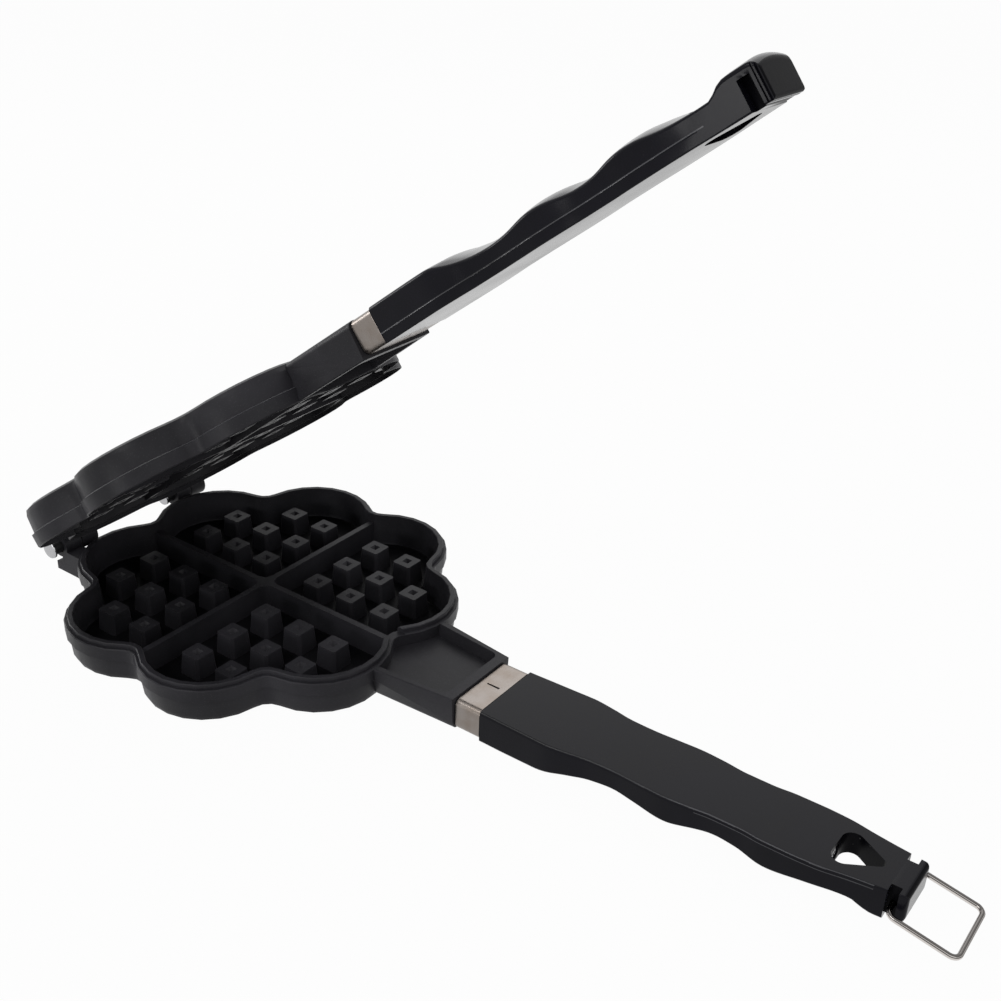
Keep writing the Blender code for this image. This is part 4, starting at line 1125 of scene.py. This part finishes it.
def camera_as_photographed():
    """The photograph's view: its azimuth, elevation and small roll, with no shift."""
    azimuth, elevation, roll = map(math.radians, CAMERA_ANGLES)
    back = Vector((math.sin(azimuth) * math.cos(elevation), -math.cos(azimuth) * math.cos(elevation),
                   math.sin(elevation)))
    level = Vector((math.cos(azimuth), math.sin(azimuth), 0.0))
    upright = back.cross(level)
    right = level * math.cos(roll) + upright * math.sin(roll)
    up = upright * math.cos(roll) - level * math.sin(roll)
    lens = bpy.data.cameras.new("photograph_camera")
    lens.sensor_width = 36.0
    lens.lens = CAMERA_LENS
    holder = add_object("photograph_camera", lens)
    turn = Matrix((right, up, back)).transposed()
    holder.matrix_world = Matrix.Translation(CAMERA_PLACE) @ turn.to_4x4()
    bpy.context.scene.camera = holder


class WAFFLE_OT_castings(bpy.types.Operator):
    """Dress the two cast halves, with their cavities, studs, ribs and knuckles"""
    bl_idname = "waffle.castings"
    bl_label = "Cast halves"

    def execute(self, context):
        look = context.scene.waffle_iron.casting
        # A pale painted highlight for the flange step, going to twice the worn colour in soft patches.
        painted_highlight = painted_highlight_surface("rubbed_coating", 26.0, 0.35, 0.65, (0.11, 0.11, 0.115),
                                tinted(look.worn, 2.0), 0.42)
        finishes = coated_casting(look), coated_casting(look, deep=True), painted_highlight
        for upper in (False, True):
            dressed_casting(upper, look, *finishes)
        return {'FINISHED'}


class WAFFLE_OT_handles(bpy.types.Operator):
    """Model the two moulded handles"""
    bl_idname = "waffle.handles"
    bl_label = "Handles"

    def execute(self, context):
        look = context.scene.waffle_iron.handle
        # Pale painted highlights for the handles' edge lines and bead.
        painted_highlight = painted_highlight_surface("handle_rubbed_line", 20.0, 0.40, 0.60, tuple(look.painted_highlight),
                                tinted(look.painted_highlight, 0.2), 0.3)
        finishes = handle_plastic(look), painted_highlight, recess_painted_shade_plastic(look)
        for upper in (False, True):
            dressed_handle(upper, look, *finishes)
        return {'FINISHED'}


class WAFFLE_OT_ferrules(bpy.types.Operator):
    """Model the two rolled steel ferrules"""
    bl_idname = "waffle.ferrules"
    bl_label = "Ferrules"

    def execute(self, context):
        look = context.scene.waffle_iron.steel
        material = worked_steel("ferrule_steel", look.ferrule, stain=(0.80, 0.74, 0.68), scale=700.0,
                                stretch=(6.0, 0.35, 0.35), patches=(120.0, 0.3, 0.8), gloss=(0.26, 0.38),
                                depth=0.00002)
        for upper in (False, True):
            dressed_ferrule(upper, look, material)
        return {'FINISHED'}


class WAFFLE_OT_hinge_pins(bpy.types.Operator):
    """Model the two hinge pins"""
    bl_idname = "waffle.hinge_pins"
    bl_label = "Hinge pins"

    def execute(self, context):
        look = context.scene.waffle_iron.steel
        for far, name in enumerate(("near_pin_steel", "far_pin_steel")):
            dressed_pin(far, pin_steel(name, look.pin, PIN_BARE_ENDS[far]))
        return {'FINISHED'}


class WAFFLE_OT_screws(bpy.types.Operator):
    """Model the two long handle screws"""
    bl_idname = "waffle.screws"
    bl_label = "Handle screws"

    def execute(self, context):
        look = context.scene.waffle_iron.steel
        material = worked_steel("screw_steel", look.pin, stain=(0.78, 0.78, 0.78), scale=800.0,
                                stretch=(5.0, 0.5, 0.5), patches=(220.0, 0.35, 0.8), gloss=(0.24, 0.36),
                                depth=0.00001)
        for upper in (False, True):
            dressed_screw(upper, material)
        return {'FINISHED'}


class WAFFLE_OT_bail(bpy.types.Operator):
    """Model the wire bail"""
    bl_idname = "waffle.bail"
    bl_label = "Bail"

    def execute(self, context):
        look = context.scene.waffle_iron.steel
        dressed_bail(look, chromed_wire(look.wire))
        return {'FINISHED'}


class WAFFLE_OT_stage(bpy.types.Operator):
    """Set up the plain floor, the lamps, the white room and the camera"""
    bl_idname = "waffle.stage"
    bl_label = "Floor, light and camera"

    def execute(self, context):
        look = context.scene.waffle_iron.stage
        white_world(look)
        plain_floor(look)
        for name in LAMPS:
            soft_lamp(name, getattr(look, name))
        camera_as_photographed()
        context.scene.view_settings.view_transform = 'Standard'
        return {'FINISHED'}


class WAFFLE_PT_panel(bpy.types.Panel):
    """Lists the pieces of the waffle iron"""
    bl_label = "Heart waffle iron"
    bl_idname = "WAFFLE_PT_panel"
    bl_space_type = 'VIEW_3D'
    bl_region_type = 'UI'
    bl_category = "Waffle iron"

    def draw(self, context):
        look = context.scene.waffle_iron
        for heading, group in (("Castings", look.casting), ("Handles", look.handle),
                               ("Steel", look.steel), ("Stage", look.stage)):
            box = self.layout.box()
            box.label(text=heading)
            for name in group.__annotations__:
                box.prop(group, name)
        for piece in PIECES:
            self.layout.operator(piece.bl_idname)


PIECES = (WAFFLE_OT_castings, WAFFLE_OT_handles, WAFFLE_OT_ferrules, WAFFLE_OT_hinge_pins,
          WAFFLE_OT_screws, WAFFLE_OT_bail, WAFFLE_OT_stage)
CLASSES = (CastingLook, HandleLook, SteelLook, StageLook, WaffleIronLook, *PIECES, WAFFLE_PT_panel)


def register():
    for item in CLASSES:
        bpy.utils.register_class(item)
    bpy.types.Scene.waffle_iron = bpy.props.PointerProperty(type=WaffleIronLook)


def unregister():
    del bpy.types.Scene.waffle_iron
    for item in reversed(CLASSES):
        bpy.utils.unregister_class(item)


def main():
    register()
    bpy.ops.waffle.castings()
    bpy.ops.waffle.handles()
    bpy.ops.waffle.ferrules()
    bpy.ops.waffle.hinge_pins()
    bpy.ops.waffle.screws()
    bpy.ops.waffle.bail()
    bpy.ops.waffle.stage()


if __name__ == "__main__":
    main()
